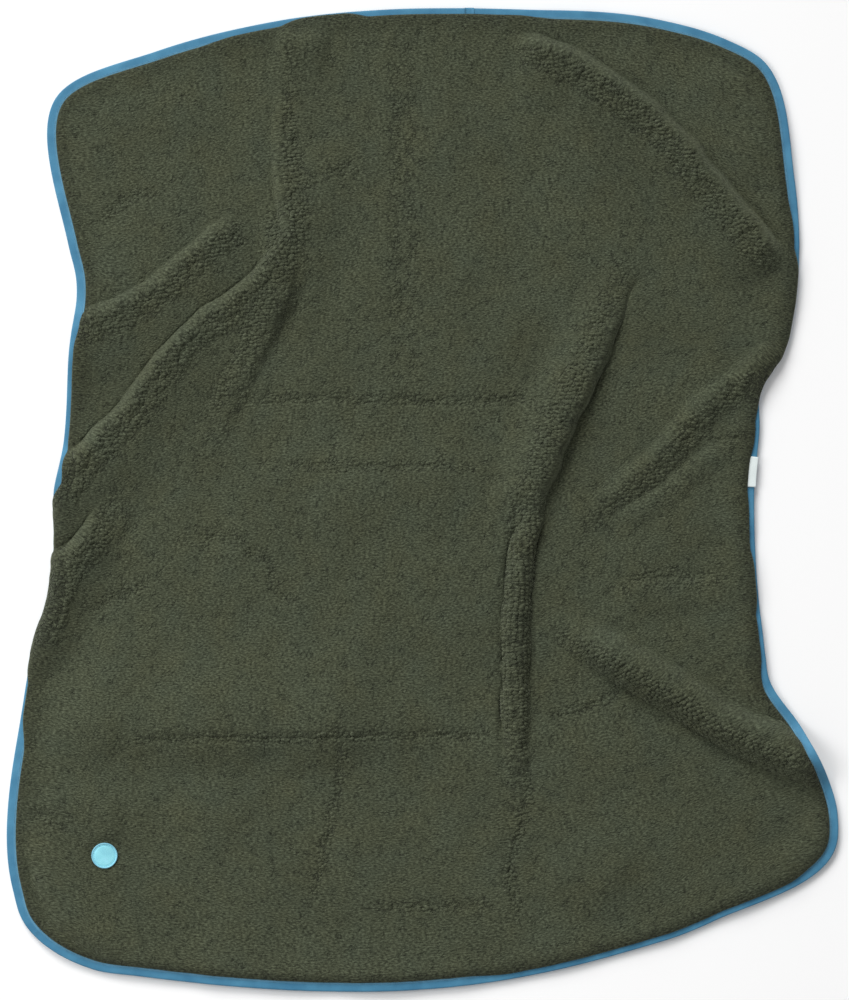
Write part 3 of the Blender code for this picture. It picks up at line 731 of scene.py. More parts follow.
def clumps():
    """A dome is two rings of seven points and a top: radius r below and 0.82 r at half its
    height, each point moved in or out at random, and stretched by a quarter across."""
    draw = np.random.default_rng(21)
    start = RINGS * STATIONS
    chance = opened[start:] + 0.26 * ripples(cloth_uv[start:], 0.030, 31)
    chance -= 0.16 * draw.random(len(chance))
    clear = np.linalg.norm(plan[start:] - PATCH_AT, axis=1) > PATCH_RADIUS + 0.008
    found = np.flatnonzero((chance > CLUMPS_FROM) & clear)
    at, full = start + found, np.clip((chance[found] - CLUMPS_FROM) / 0.35, 0, 1)
    count, sides = len(at), 7
    rise = up[at]
    across = np.cross([0.0, 1.0, 0.0], rise)
    across /= np.linalg.norm(across, axis=1)[:, None]
    away = np.cross(rise, across)
    size = draw.uniform(0.0027, 0.0041, count) * (0.75 + 0.25 * full)
    tall = size * draw.uniform(0.45, 0.75, count) * (0.30 + 0.55 * full)
    jitter = draw.uniform(-0.0017, 0.0017, (count, 2))
    angle = np.arange(sides) * 2 * np.pi / sides + draw.uniform(0, 7, count)[:, None]
    rings = []
    for share, height in ((1.0, -0.5), (0.82, 0.55)):
        reach = size[:, None] * share * draw.uniform(0.82, 1.18, (count, sides))
        x, y = 1.25 * reach * np.cos(angle), reach * np.sin(angle)
        rings.append(np.stack([x, y, np.broadcast_to(tall[:, None] * height, x.shape)], axis=-1))
    top = np.stack([0 * tall, 0 * tall, tall], axis=-1)[:, None]
    local = np.concatenate([*rings, top], axis=1)
    local[..., :2] += jitter[:, None]
    points = pile_top[at][:, None] + local[..., :1] * across[:, None]
    points = points + local[..., 1:2] * away[:, None] + local[..., 2:] * rise[:, None]
    ids = np.arange(count * (2 * sides + 1)).reshape(count, -1)
    low, mid, peak = ids[:, :sides], ids[:, sides : 2 * sides], ids[:, -1:]
    quads = np.stack([low, np.roll(low, -1, 1), np.roll(mid, -1, 1), mid], axis=-1).reshape(-1, 4)
    peaks = np.broadcast_to(peak, mid.shape)
    cap = np.stack([mid, np.roll(mid, -1, 1), peaks], axis=-1).reshape(-1, 3)
    first = np.broadcast_to(low[:, :1], (count, sides - 2))
    foot = np.stack([first, low[:, 2:], low[:, 1:-1]], axis=-1).reshape(-1, 3)
    uv = (cloth_uv[at][:, None] + local[..., :2]).reshape(-1, 2)
    return mesh_object("pile_clumps", points.reshape(-1, 3), [quads, cap, foot], uv=uv)


pile_clumps = clumps()
print(len(pile_clumps.data.vertices) // 15, "clumps")

# %% [markdown]
# ## The back panel
#
# The back is a thin brushed knit that follows the same middle surface underneath. It never
# faces up, so it is made at the coarser spacing on both of its sides.


# %% Back panel
def back_panel():
    """Two offsets of the middle surface: just under it, and the knit's thickness under it."""
    thick = np.where(sewn, BACK_SEWN, BACK)
    lower = middle[used] - up[used] * (thick + AIR)[:, None]
    lower[:, 2] = np.maximum(lower[:, 2], 0)
    upper = middle[used] - up[used] * AIR
    upper[:, 2] = np.maximum(upper[:, 2], lower[:, 2] + 0.6 * thick)
    count = len(used)
    a, b = coarse_rim, np.roll(coarse_rim, -1)
    wall = np.stack([a, b, b + count, a + count], axis=1)
    quads = [coarse_quads[:, ::-1], coarse_quads + count, wall]
    uv = np.vstack([cloth_uv[used], cloth_uv[used]])
    return mesh_object("knit_back", np.vstack([lower, upper]), quads, uv=uv)


knit_back = back_panel()

# %% [markdown]
# ## The binding
#
# A woven tape is folded over the edge and sewn through all layers in one row, with its two ends
# lapped at the head end. Its section is a thin letter C round the cut edge. It is swept from
# station to station, a little puckered by the stitches.


# %% Tape
def at_depth(depth):
    """The middle surface and its upward normal at a distance in from the cut edge, at every
    station, read between the rings."""
    k = min(int(np.searchsorted(RING_DEPTHS, depth, side="right")) - 1, RINGS - 2)
    share = (depth - RING_DEPTHS[k]) / (RING_DEPTHS[k + 1] - RING_DEPTHS[k])
    place = ring_mid[k] * (1 - share) + ring_mid[k + 1] * share
    return place, ring_up[k]


TAPE_BOTTOM = AIR + BACK_SEWN + AIR + TAPE


def tape_section(lap=0.0):
    """(depth, height) of the C-shaped section. The outside runs from the inner edge on top,
    round the cut edge, to the inner edge below, and the inside runs back."""
    turn = np.radians([62, 30, 0, -30, -62])
    out, top, low = EDGE_OUT + lap, TAPE_TOP + lap, -TAPE_BOTTOM - lap
    mid, half = (top + low) / 2, (top - low) / 2
    nose = [(0.0004 - out * np.cos(a), mid + half * np.sin(a)) for a in turn]
    outer = [(TAPE_WIDTH, top - 0.0003), (TAPE_WIDTH - 0.0004, top)]
    outer += [(w * TAPE_WIDTH, top) for w in (0.8, 0.66, 0.5, 0.33, 0.12)]
    under = [(w * TAPE_WIDTH, low) for w in (0.12, 0.4, 0.7, 1.0)]
    inner_top, inner_low = top - TAPE, low + TAPE
    inner = [(TAPE_WIDTH, inner_low), (0.0, inner_low), (-AIR, mid), (0.0, inner_top)]
    inner += [(TAPE_WIDTH, inner_top)]
    return np.array(outer + nose + under + inner)


PUCKER = 0.00022 * np.sin(edge_run[:-1] * 2 * np.pi / 0.0093) + 0.00025 * ripples(edge, 0.03, 12)


def swept_tape(name, rows, section, closed):
    """The section placed at each row's station: depth along the strip, height along its normal."""
    rings = []
    for k, (depth, height) in enumerate(section):
        place, rise = at_depth(max(depth, 0))
        away = ring_out[0] * max(-depth, 0)
        lift = height + (PUCKER if k < 7 else 0)
        rings.append(place + away + rise * np.reshape(lift, (-1, 1)))
    points = np.stack(rings, axis=1)[rows]
    count, size = points.shape[:2]
    ids = np.arange(count * size).reshape(count, size)
    ahead = np.roll(ids, -1, axis=0) if closed else ids[1:]
    here = ids if closed else ids[:-1]
    quads = np.stack([here, np.roll(here, -1, 1), np.roll(ahead, -1, 1), ahead], axis=-1)
    faces = [quads.reshape(-1, 4)]
    if not closed:
        half = size - 5
        pairs = [(k, size - 1 - min(k * 5 // half, 4)) for k in range(half)]
        fill = [(a, c, d, b) for (a, b), (c, d) in zip(pairs, pairs[1:])]
        first = np.array([q for q in fill if len(set(q)) == 4])
        thin = np.array([(a, c, d) for a, c, d, b in fill if b == d])
        last = ids[-1][0]
        faces += [first, first[:, ::-1] + last, thin, thin[:, ::-1] + last]
    across = np.concatenate([[0], np.cumsum(np.linalg.norm(np.diff(section, axis=0), axis=1))])
    run = np.repeat(edge_run[rows], size)
    uv = np.stack([run, np.tile(across, count)], axis=1)
    return mesh_object(name, points.reshape(-1, 3), faces, uv=uv)


tape = swept_tape("tape", np.arange(STATIONS), tape_section(), True)
join = np.linalg.norm(edge - np.array((0.12, 0.99)) * HALF_SIZE, axis=1).argmin()
tape_lap = swept_tape("tape_lap", np.arange(join, join + 4), tape_section(TAPE + AIR), False)

# %% [markdown]
# ## Sewing
#
# The tape is held by a lockstitch: short stitches of needle thread on top and the same in
# bobbin thread below. Every stitch is one small bead, fat in the middle, whose ends dip into
# the tape. They are all made at once from one section.


# %% Stitches
def beads(name, length, place, lift, pitch, radius, sides=6):
    """place and lift give, for an array of distances, the points and the upward directions of a
    seam. A stitch runs 0.84 of its pitch, with radius times sqrt(1 - (2t - 1)^4) at its share t,
    and its ends sink by one radius."""
    count = int(length / pitch)
    share = np.array([0.08, 0.2, 0.5, 0.8, 0.92])
    at = (np.arange(count)[:, None] + share) * (length / count)
    centre, up_here = place(at), lift(at)
    ahead = place(at + 0.0005) - centre
    ahead /= np.linalg.norm(ahead, axis=-1, keepdims=True)
    side = np.cross(ahead, up_here)
    side /= np.linalg.norm(side, axis=-1, keepdims=True)
    t = (share - 0.08) / 0.84
    fat = radius * np.sqrt(np.maximum(1 - (2 * t - 1) ** 4, 0.06))
    dip = radius * (0.55 - 1.1 * (2 * t - 1) ** 2)
    turn = np.arange(sides) * 2 * np.pi / sides
    ring = side[:, :, None] * np.cos(turn)[:, None] + up_here[:, :, None] * np.sin(turn)[:, None]
    points = centre[:, :, None] + up_here[:, :, None] * dip[:, None, None]
    points = points + ring * fat[:, None, None]
    ids = np.arange(points[..., 0].size).reshape(count, len(share), sides)
    a, b = ids[:, :-1], ids[:, 1:]
    quads = np.stack([a, b, np.roll(b, -1, 2), np.roll(a, -1, 2)], axis=-1).reshape(-1, 4)
    ends = [ids[:, 0], ids[:, -1, ::-1]]
    fans = [(end[:, 0], end[:, 1 + k], end[:, 2 + k]) for end in ends for k in range(sides - 2)]
    caps = np.concatenate([np.stack(fan, axis=-1) for fan in fans])
    return mesh_object(name, points.reshape(-1, 3), [quads, caps])


def round_edge(values):
    """A function that reads a value known at every station at any distance round the edge."""
    loop = np.vstack([values, values[:1]])

    def read(at):
        at = at % edge_run[-1]
        return np.stack([np.interp(at, edge_run, loop[:, k]) for k in range(3)], axis=-1)

    return read


def seam_on_tape(height):
    """The seam's row along the tape, its height over (or under) the middle surface."""
    place, rise = at_depth(TAPE_WIDTH - 0.0028)
    return edge_run[-1], round_edge(place + rise * height), round_edge(rise * np.sign(height))


needle_stitches = beads("needle_stitches", *seam_on_tape(TAPE_TOP + 0.00022), 0.0031, 0.00026)
bobbin_stitches = beads("bobbin_stitches", *seam_on_tape(-TAPE_BOTTOM - 0.00012), 0.0031, 0.00022)

# %% [markdown]
# ## The round patch
#
# A small woven disc is sewn to the pile near one corner. Its edge is overlocked, so it wears a
# raised rim of slanting thread, and a ring of stitches just inside presses the disc and the pile
# under it down a little.


# %% Patch
PATCH, RIM = 0.0012, 0.0019
SEAM_AT = 0.83  # the seam's radius, as a share of the patch's


def over_ground(xy, height):
    """Points at a height over the middle surface, for plan points near the patch."""
    lifted, _ = laid(xy.reshape(-1, 2))
    z = lifted[:, 2].reshape(xy.shape[:-1]) + height
    return np.concatenate([xy, z[..., None]], axis=-1)


def polar(radius, sides):
    """Circles round the patch's middle, one for each radius."""
    turn = np.arange(sides) * 2 * np.pi / sides
    return PATCH_AT + np.stack([np.cos(turn), np.sin(turn)], axis=-1) * np.reshape(radius, (-1, 1, 1))


def disc():
    """Rings of a low dome: the height falls with the square of the radius, and a groove one
    stitch wide runs where the seam presses it down."""
    sides = 72
    radii = np.array([0.16, 0.33, 0.5, 0.66, 0.76, 0.82, 0.86, 0.91, 0.97]) * PATCH_RADIUS
    top = PATCH_BASE + PATCH + 0.0004 * (1 - (radii / PATCH_RADIUS) ** 2)
    top -= 0.0005 * np.exp(-(((radii / PATCH_RADIUS - SEAM_AT) / 0.04) ** 2))
    flat = polar(radii, sides)
    wave = 0.00012 * np.sin((flat[..., 0] + flat[..., 1]) * 2 * np.pi / 0.011)
    upper = over_ground(flat, top[:, None] + wave)
    lower = over_ground(polar(radii[[0, -1]], sides), PATCH_BASE)
    hub = over_ground(PATCH_AT[None], np.array([top[0] + 0.00002]))
    foot = over_ground(PATCH_AT[None], np.array([PATCH_BASE]))
    points = np.vstack([upper.reshape(-1, 3), lower[::-1].reshape(-1, 3), hub, foot])
    rows = np.arange((len(radii) + 2) * sides).reshape(-1, sides)
    a, b = rows[:-1], rows[1:]
    quads = np.stack([a, b, np.roll(b, -1, 1), np.roll(a, -1, 1)], axis=-1).reshape(-1, 4)
    count = rows.size
    first = np.stack([np.full(sides, count), rows[0], np.roll(rows[0], -1)], axis=1)
    last = np.stack([np.full(sides, count + 1), np.roll(rows[-1], -1), rows[-1]], axis=1)
    return mesh_object("disc", points, [quads, first, last], uv=points[:, :2] - PATCH_AT)


def rim_ring():
    """A torus whose tube swells by a tenth with cos(n(angle) + slant), one swell a wrap."""
    around, tube = 420, 10
    theta = np.arange(around)[:, None] * 2 * np.pi / around
    phi = np.arange(tube)[None, :] * 2 * np.pi / tube
    swell_here = 1 + 0.10 * np.cos(105 * theta + 1.2 * phi)
    radius = PATCH_RADIUS - RIM * 0.45 + RIM * 0.58 * np.cos(phi) * swell_here
    height = PATCH_BASE + 0.0009 + 0.0010 * np.sin(phi) * swell_here
    xy = PATCH_AT + np.stack([radius * np.cos(theta), radius * np.sin(theta)], axis=-1)
    points = over_ground(xy, height).reshape(-1, 3)
    ids = np.arange(around * tube).reshape(around, tube)
    a, b = ids, np.roll(ids, -1, axis=0)
    quads = np.stack([a, b, np.roll(b, -1, 1), np.roll(a, -1, 1)], axis=-1).reshape(-1, 4)
    round_patch = np.repeat(theta, tube, axis=1) * PATCH_RADIUS
    round_tube = np.repeat(phi, around, axis=0) * RIM / 2
    uv = np.stack([round_patch, round_tube], axis=-1).reshape(-1, 2)
    return mesh_object("overlocked_rim", points, [quads], uv=uv)


def straight_up(at):
    """The upward direction of a seam that lies nearly level, at every distance."""
    return np.broadcast_to([0.0, 0.0, 1.0], (*at.shape, 3))


def ring_seam(radius, height):
    """A circle round the patch's middle: at a distance s the angle is s / radius."""
    def along(at):
        turn = at / radius
        xy = PATCH_AT + radius * np.stack([np.cos(turn), np.sin(turn)], axis=-1)
        return over_ground(xy, height)

    return 2 * np.pi * radius, along, straight_up


patch = disc()
patch_rim = rim_ring()
patch_seam = ring_seam(PATCH_RADIUS * SEAM_AT, PATCH_BASE + PATCH - 0.0001)
patch_stitches = beads("patch_stitches", *patch_seam, 0.0026, 0.00028)

# %% [markdown]
# ## The side label
#
# A short length of satin ribbon is folded double and caught in the seam, so it points out over
# the tape and can be turned up. It is made as one ribbon. A few tacking stitches hold its ends
# down. Its place and direction come from the joint it turns about.


# %% Label
flap_low, flap_high = (np.array(corner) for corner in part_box("side_label"))
hinge = next(joint for joint in frame["joints"] if joint["name"] == "label_flip")
HINGE = np.array(hinge["pos_m"], float)
ALONG = -np.array(hinge["axis"], float)
ALONG /= np.linalg.norm(ALONG)
OUTWARD = np.array([ALONG[1], -ALONG[0], 0.0])
LABEL_WIDE = float((flap_high - flap_low)[1] / ALONG[1]) - 0.0013
LABEL_REACH, LABEL_BACK, RIBBON = 0.0156, 0.0035, 0.00035
label_at = np.linalg.norm(edge - (HINGE + OUTWARD * 0.014)[:2], axis=1).argmin()
seam_there = at_depth(TAPE_WIDTH)[0][label_at]
print("seam", np.round(seam_there, 4), "hinge", np.round(HINGE, 4))
print(f"ribbon {LABEL_WIDE:.4f} m wide")


def on_label(outward, height, across):
    """Points of the label: outward from the seam along the tape's slope and height over the
    tape, at distances across the ribbon."""
    run = edge_run[label_at] + across
    outer, inner, rise = (round_edge(part)(run) for part in (ring_mid[0], ring_mid[3], ring_up[1]))
    share = 1 - outward / TAPE_WIDTH
    place = outer + (inner - outer) * share[..., None]
    return place + rise * (TAPE_TOP + 0.0003 + height)[..., None]


def ribbon():
    """A folded ribbon: an outer loop of (outward, height) points and the same loop thinner
    inside it, swept across the ribbon's width with a slight wave."""
    cells, bend = 24, 0.0006
    turn = np.radians([70, 35, 0, -35, -70])
    last = LABEL_REACH - bend
    reach = np.array([-LABEL_BACK, -0.002, 0, 0.002, 0.004, 0.006, 0.009, 0.0115, last])
    loft = 2 * bend + 0.0008 * np.clip(reach / LABEL_REACH, 0, 1) ** 1.5
    nose = np.stack([last + bend * np.cos(turn), bend * np.sin(turn)], axis=1)
    nose[:, 1] += loft[-1] - bend
    outer_top = np.stack([reach, loft], axis=1)
    outer_low = (outer_top - (0, 2 * bend))[::-1]
    inner_top, inner_low = outer_top - (0, RIBBON), outer_low + (0, RIBBON)
    inner_nose = nose * (1, 0.4) + (-RIBBON, 0.6 * (loft[-1] - bend))
    inside = [inner_low[::-1], inner_nose[::-1], inner_top[::-1]]
    loop = np.vstack([outer_top, nose, outer_low, *inside])
    across = np.linspace(-0.5, 0.5, cells + 1) * LABEL_WIDE
    wave = np.sin(across / LABEL_WIDE * 9)[:, None] * np.clip(loop[:, 0] / LABEL_REACH, 0, 1)
    wave = 0.0003 * wave
    outward = np.broadcast_to(loop[:, 0], wave.shape)
    across = np.broadcast_to(across[:, None], wave.shape)
    points = on_label(outward, loop[:, 1] + wave, across)
    ids = np.arange(wave.size).reshape(wave.shape)
    a, b = ids[:-1], ids[1:]
    quads = [np.stack([a, b, np.roll(b, -1, 1), np.roll(a, -1, 1)], axis=-1).reshape(-1, 4)]
    k = np.arange(len(loop) // 2 - 1)
    side = np.stack([k, k + 1, len(loop) - 2 - k, len(loop) - 1 - k], axis=1)
    quads += [side, side[:, ::-1] + ids[-1, 0]]
    uv = np.stack([outward, across], axis=-1).reshape(-1, 2)
    return mesh_object("ribbon_label", points.reshape(-1, 3), quads, uv=uv)


def tack_seam():
    """A straight row across the ribbon, 2.2 mm behind the seam and as long as 0.94 of it."""
    def along(at):
        behind, height = np.full(at.shape, -0.0022), np.full(at.shape, 0.0014)
        return on_label(behind, height, at - LABEL_WIDE * 0.47)

    return LABEL_WIDE * 0.94, along, straight_up


ribbon_label = ribbon()
tack_stitches = beads("tack_stitches", *tack_seam(), 0.0026, 0.00022)

# %% [markdown]
# ## Colours and finishes
#
# Colours are written as the eye reads them, in sRGB steps from 0 to 255, and turned into linear
# light once. Every finish is procedural, and its pattern follows the piece's own UV map, whose
# unit is the metre, so grain sizes below are real sizes.


# %% Node helpers
def colour(red, green, blue):
    """sRGB steps to linear light, with an alpha of 1."""
    share = np.array([red, green, blue]) / 255
    linear = np.where(share <= 0.04045, share / 12.92, ((share + 0.055) / 1.055) ** 2.4)
    return (*(float(v) for v in linear), 1.0)


def add(tree, kind, inputs=None, **settings):
    """A new shader node. inputs maps a socket's name or number to a constant or to an output."""
    made = tree.nodes.new("ShaderNode" + kind)
    for name, value in settings.items():
        setattr(made, name, value)
    for name, value in (inputs or {}).items():
        if isinstance(value, bpy.types.NodeSocket):
            tree.links.new(value, made.inputs[name])
        else:
            made.inputs[name].default_value = value
    return made


def math(tree, operation, *values, clamp=False):
    """The output of a Math node. MULTIPLY_ADD takes a, b, c and gives a times b plus c."""
    made = add(tree, "Math", dict(enumerate(values)), operation=operation, use_clamp=clamp)
    return made.outputs[0]


def ramp(tree, value, *stops):
    """A colour ramp through (place, colour) stops."""
    made = add(tree, "ValToRGB", {0: value})
    elements = made.color_ramp.elements
    while len(elements) < len(stops):
        elements.new(0.5)
    for element, (place, shade) in zip(elements, stops):
        element.position = place
        element.color = shade
    return made.outputs[0]


def cloth_place(tree, stretch=(1, 1, 1), turn=0.0):
    """The UV map as a place in metres, stretched so that grains come out long one way."""
    place = add(tree, "UVMap", uv_map="cloth").outputs[0]
    inputs = {"Vector": place, "Scale": stretch, "Rotation": (0, 0, turn)}
    return add(tree, "Mapping", inputs).outputs[0]


def finish(name, roughness, sheen=0.0, **principled):
    """A material with a Principled shader, returned with its tree and that shader."""
    made = bpy.data.materials.new(name)
    made.use_nodes = True
    tree = made.node_tree
    shader = tree.nodes["Principled BSDF"]
    shader.inputs["Roughness"].default_value = roughness
    shader.inputs["Sheen Weight"].default_value = sheen
    shader.inputs["Sheen Roughness"].default_value = 0.5
    for socket, value in principled.items():
        shader.inputs[socket.replace("_", " ")].default_value = value
    return made, tree, shader


def bump(tree, shader, height, depth, strength=1.0, before=None):
    """depth is how high in metres a pattern of 1 stands."""
    inputs = {"Height": height, "Distance": depth, "Strength": strength}
    if before is not None:
        inputs["Normal"] = before
    made = add(tree, "Bump", inputs).outputs[0]
    tree.links.new(made, shader.inputs["Normal"])
    return made


# %% [markdown]
# ### Pile
#
# The pile of a sherpa-like fleece is a mass of short curly tufts. Little light falls between them,
# so the gaps are painted far darker than the tips, as painted shade. Tufts are a little longer
# across the blanket than along it. Where the cloth bends, the pile opens, and the gaps grow wider
# and are painted darker.


# %% Pile finish
def pile_finish():
    """Fine tufts make the grain. Voronoi cell borders make the gaps between clumps, wider where
    a noise or the "opened" attribute is high. Both dent the surface, and both set the colour: the
    tufts' own grain, with painted shade in the gaps and on the low tufts."""
    made, tree, shader = finish("olive_pile", 0.96, 0.32, Specular_IOR_Level=0.15)
    shader.inputs["Sheen Tint"].default_value = colour(190, 198, 170)
    loose = add(tree, "Attribute", attribute_name="opened").outputs["Fac"]
    rows = cloth_place(tree, (0.46, 1, 1))
    place = cloth_place(tree)
    # Fine tufts in rows.
    tuft = add(tree, "TexNoise", {"Vector": rows, "Scale": 430.0, "Detail": 3.0}).outputs["Fac"]
    speck = add(tree, "TexNoise", {"Vector": place, "Scale": 760.0, "Detail": 3.0}).outputs["Fac"]
    fine = math(tree, "MULTIPLY_ADD", tuft, 0.75, math(tree, "MULTIPLY", speck, 0.40))
    # Clumps that part where the cloth bends.
    bend = add(tree, "TexNoise", {"Vector": place, "Scale": 130.0, "Detail": 3.0}).outputs["Color"]
    bent = add(tree, "VectorMath", {0: bend, 1: (0.5, 0.5, 0.5)}, operation="SUBTRACT").outputs[0]
    bent = add(tree, "VectorMath", {0: bent, "Scale": 0.010}, operation="SCALE").outputs[0]
    bent = add(tree, "VectorMath", {0: place, 1: bent}, operation="ADD").outputs[0]
    inputs = {"Vector": bent, "Scale": 118.0}
    crack = add(tree, "TexVoronoi", inputs, feature="DISTANCE_TO_EDGE").outputs["Distance"]
    clump = add(tree, "MapRange", {"Value": crack, 1: 0.0, 2: 0.19}).outputs[0]
    patchy = add(tree, "TexNoise", {"Vector": place, "Scale": 60.0, "Detail": 2.0}).outputs["Fac"]
    parted = math(tree, "MULTIPLY_ADD", patchy, 3.0, math(tree, "MULTIPLY_ADD", loose, 1.6, -1.52))
    parted = math(tree, "MULTIPLY", parted, 1.0, clamp=True)
    gap = math(tree, "MULTIPLY", math(tree, "SUBTRACT", 1.0, clump), parted)
    # The tone is the tufts' own grain, with painted shade on the low tufts and in the gaps between clumps.
    depth = math(tree, "MULTIPLY_ADD", math(tree, "SUBTRACT", fine, 0.575), 2.15, 0.563)
    depth = math(tree, "MULTIPLY_ADD", gap, -0.25, depth)
    # Painted light: open pile is made a little lighter, to offset the shade on the flanks where it opens.
    depth = math(tree, "MULTIPLY_ADD", loose, 0.06, depth)
    # Painted shade: the pile is darker beside the seam.
    seam_shade = add(tree, "Attribute", attribute_name="seam_shade").outputs["Fac"]
    depth = math(tree, "MULTIPLY_ADD", seam_shade, -0.22, depth, clamp=True)
    shade = ramp(
        tree, depth,
        (0.10, colour(28, 30, 22)), (0.40, colour(53, 57, 43)), (0.60, colour(68, 73, 56)),
        (0.90, colour(91, 97, 77)),
    )  # fmt: skip
    # The dye is a little cooler in some places and warmer in others.
    broad = add(tree, "TexNoise", {"Vector": place, "Scale": 7.0, "Detail": 3.0}).outputs["Fac"]
    level = math(tree, "MULTIPLY_ADD", broad, 0.34, 0.82)
    tint = add(tree, "TexNoise", {"Vector": place, "Scale": 15.0, "Detail": 2.0}).outputs["Fac"]
    hue = math(tree, "MULTIPLY_ADD", tint, 0.07, 0.465)
    rich = math(tree, "MULTIPLY_ADD", tint, -0.30, 1.13)
    inputs = {"Color": shade, "Hue": hue, "Saturation": rich, "Value": level}
    shade = add(tree, "HueSaturation", inputs).outputs[0]
    tree.links.new(shade, shader.inputs["Base Color"])
    rise = math(tree, "MULTIPLY_ADD", gap, -0.0030, math(tree, "MULTIPLY", fine, 0.0015))
    bump(tree, shader, rise, 1.0, 0.9)
    return made


# %% [markdown]
# ### Knit back, tape, patch, ribbon and thread
#
# The back is a smooth brushed knit: fine ribs under a soft nap. The tape is a twill, so fine
# slanting ribs cross it, and it is painted a little lighter where its inner edge turns up to the light.
# The patch is a felt-like weave with a satin rim, and the label is a glossy satin ribbon.


# %% Plainer finishes
def knit_finish():
    """Wavy ribs under a fine nap."""
    made, tree, shader = finish("brushed_knit", 0.92, 0.15)
    place = cloth_place(tree)
    ribs = add(tree, "TexWave", {"Vector": place, "Scale": 180.0, "Distortion": 1.5, "Detail": 2.0})
    nap = add(tree, "TexNoise", {"Vector": place, "Scale": 420.0, "Detail": 4.0}).outputs["Fac"]
    height = math(tree, "MULTIPLY_ADD", ribs.outputs["Fac"], 0.5, nap)
    shade = ramp(tree, height, (0.3, colour(56, 61, 47)), (0.9, colour(76, 82, 65)))
    tree.links.new(shade, shader.inputs["Base Color"])
    bump(tree, shader, height, 0.0004, 0.6)
    return made


def tape_finish():
    """Slanting twill ribs on a slightly worn dye, with painted light making it paler along the inner edge.
    """
    made, tree, shader = finish("woven_tape", 0.62, 0.12, Specular_IOR_Level=0.3)
    place = cloth_place(tree)
    twill = cloth_place(tree, turn=0.9)
    ribs = add(tree, "TexWave", {"Vector": twill, "Scale": 330.0, "Distortion": 0.4}).outputs["Fac"]
    worn = add(tree, "TexNoise", {"Vector": place, "Scale": 26.0, "Detail": 3.0}).outputs["Fac"]
    grain = add(tree, "TexNoise", {"Vector": place, "Scale": 520.0, "Detail": 2.0}).outputs["Fac"]
    across = add(tree, "SeparateXYZ", {0: place}).outputs["Y"]
    # Painted light: the inner edge, where the tape turns up to the light, is mixed towards a paler blue.
    inner = add(tree, "MapRange", {"Value": across, 1: 0.0042, 2: 0.0012}).outputs[0]
    shade = ramp(tree, worn, (0.3, colour(55, 114, 147)), (0.7, colour(74, 135, 167)))
    inputs = {"Fac": math(tree, "MULTIPLY", inner, 0.75), 1: shade, 2: colour(106, 160, 188)}
    shade = add(tree, "MixRGB", inputs).outputs[0]
    level = math(tree, "MULTIPLY_ADD", grain, 0.22, 0.89)
    level = math(tree, "MULTIPLY_ADD", ribs, 0.08, level)
    shade = add(tree, "HueSaturation", {"Color": shade, "Value": level}).outputs[0]
    tree.links.new(shade, shader.inputs["Base Color"])
    before = bump(tree, shader, ribs, 0.00012, 0.8)
    bump(tree, shader, worn, 0.0012, 0.5, before)
    return made


def thread_finish(name, dark, light, roughness=0.5):
    """Sewing thread: two plies, seen as a fine slanting ripple of light and dark."""
    made, tree, shader = finish(name, roughness, 0.1)
    place = add(tree, "TexCoord").outputs["Object"]
    twist = add(tree, "TexNoise", {"Vector": place, "Scale": 900.0, "Detail": 2.0}).outputs["Fac"]
    shade = ramp(tree, twist, (0.35, colour(*dark)), (0.65, colour(*light)))
    tree.links.new(shade, shader.inputs["Base Color"])
    bump(tree, shader, twist, 0.00008)
    return made


def felt_finish():
    """A matt, slightly cloudy weave."""
    made, tree, shader = finish("patch_weave", 0.8, 0.25)
    place = cloth_place(tree)
    grain = add(tree, "TexNoise", {"Vector": place, "Scale": 700.0, "Detail": 3.0}).outputs["Fac"]
    cloudy = add(tree, "TexNoise", {"Vector": place, "Scale": 60.0, "Detail": 3.0}).outputs["Fac"]
    both = math(tree, "MULTIPLY_ADD", cloudy, 0.7, math(tree, "MULTIPLY", grain, 0.3))
    shade = ramp(
        tree, both,
        (0.35, colour(136, 212, 230)), (0.55, colour(149, 227, 240)), (0.7, colour(162, 229, 250)),
    )  # fmt: skip
    tree.links.new(shade, shader.inputs["Base Color"])
    bump(tree, shader, grain, 0.0003, 0.7)
    return made


def satin_finish():
    """Close weft threads across the ribbon, which catch the light as satin does."""
    made, tree, shader = finish("satin_ribbon", 0.42, 0.1)
    place = cloth_place(tree, (1, 6, 1))
    weft = add(tree, "TexNoise", {"Vector": place, "Scale": 420.0, "Detail": 2.0}).outputs["Fac"]
    shade = ramp(tree, weft, (0.3, colour(208, 217, 216)), (0.7, colour(228, 238, 237)))
    tree.links.new(shade, shader.inputs["Base Color"])
    bump(tree, shader, weft, 0.0001)
    return made


# %% [markdown]
# Each finish goes on its pieces. All the threads share one recipe and differ in their dye.

# %% Finishes on their pieces
tape_thread = thread_finish("tape_thread", (66, 124, 158), (88, 152, 184))
rim_thread = thread_finish("rim_thread", (120, 190, 216), (144, 212, 231))
patch_thread = thread_finish("patch_thread", (112, 186, 210), (142, 212, 228))
label_thread = thread_finish("label_thread", (196, 206, 206), (224, 232, 230))
FINISHES = {
    "pile": (pile_finish(), [pile_cloth, pile_clumps]),
    "back": (knit_finish(), [knit_back]),
    "tape": (tape_finish(), [tape, tape_lap]),
    "tape_thread": (tape_thread, [needle_stitches, bobbin_stitches]),
    "patch": (felt_finish(), [patch]),
    "patch_rim": (rim_thread, [patch_rim]),
    "patch_thread": (patch_thread, [patch_stitches]),
    "label": (satin_finish(), [ribbon_label]),
    "label_thread": (label_thread, [tack_stitches]),
}
for slot_name, (material, pieces) in FINISHES.items():
    for piece in pieces:
        piece.data.materials.clear()
        piece.data.materials.append(material)
print(len(FINISHES), "finishes")

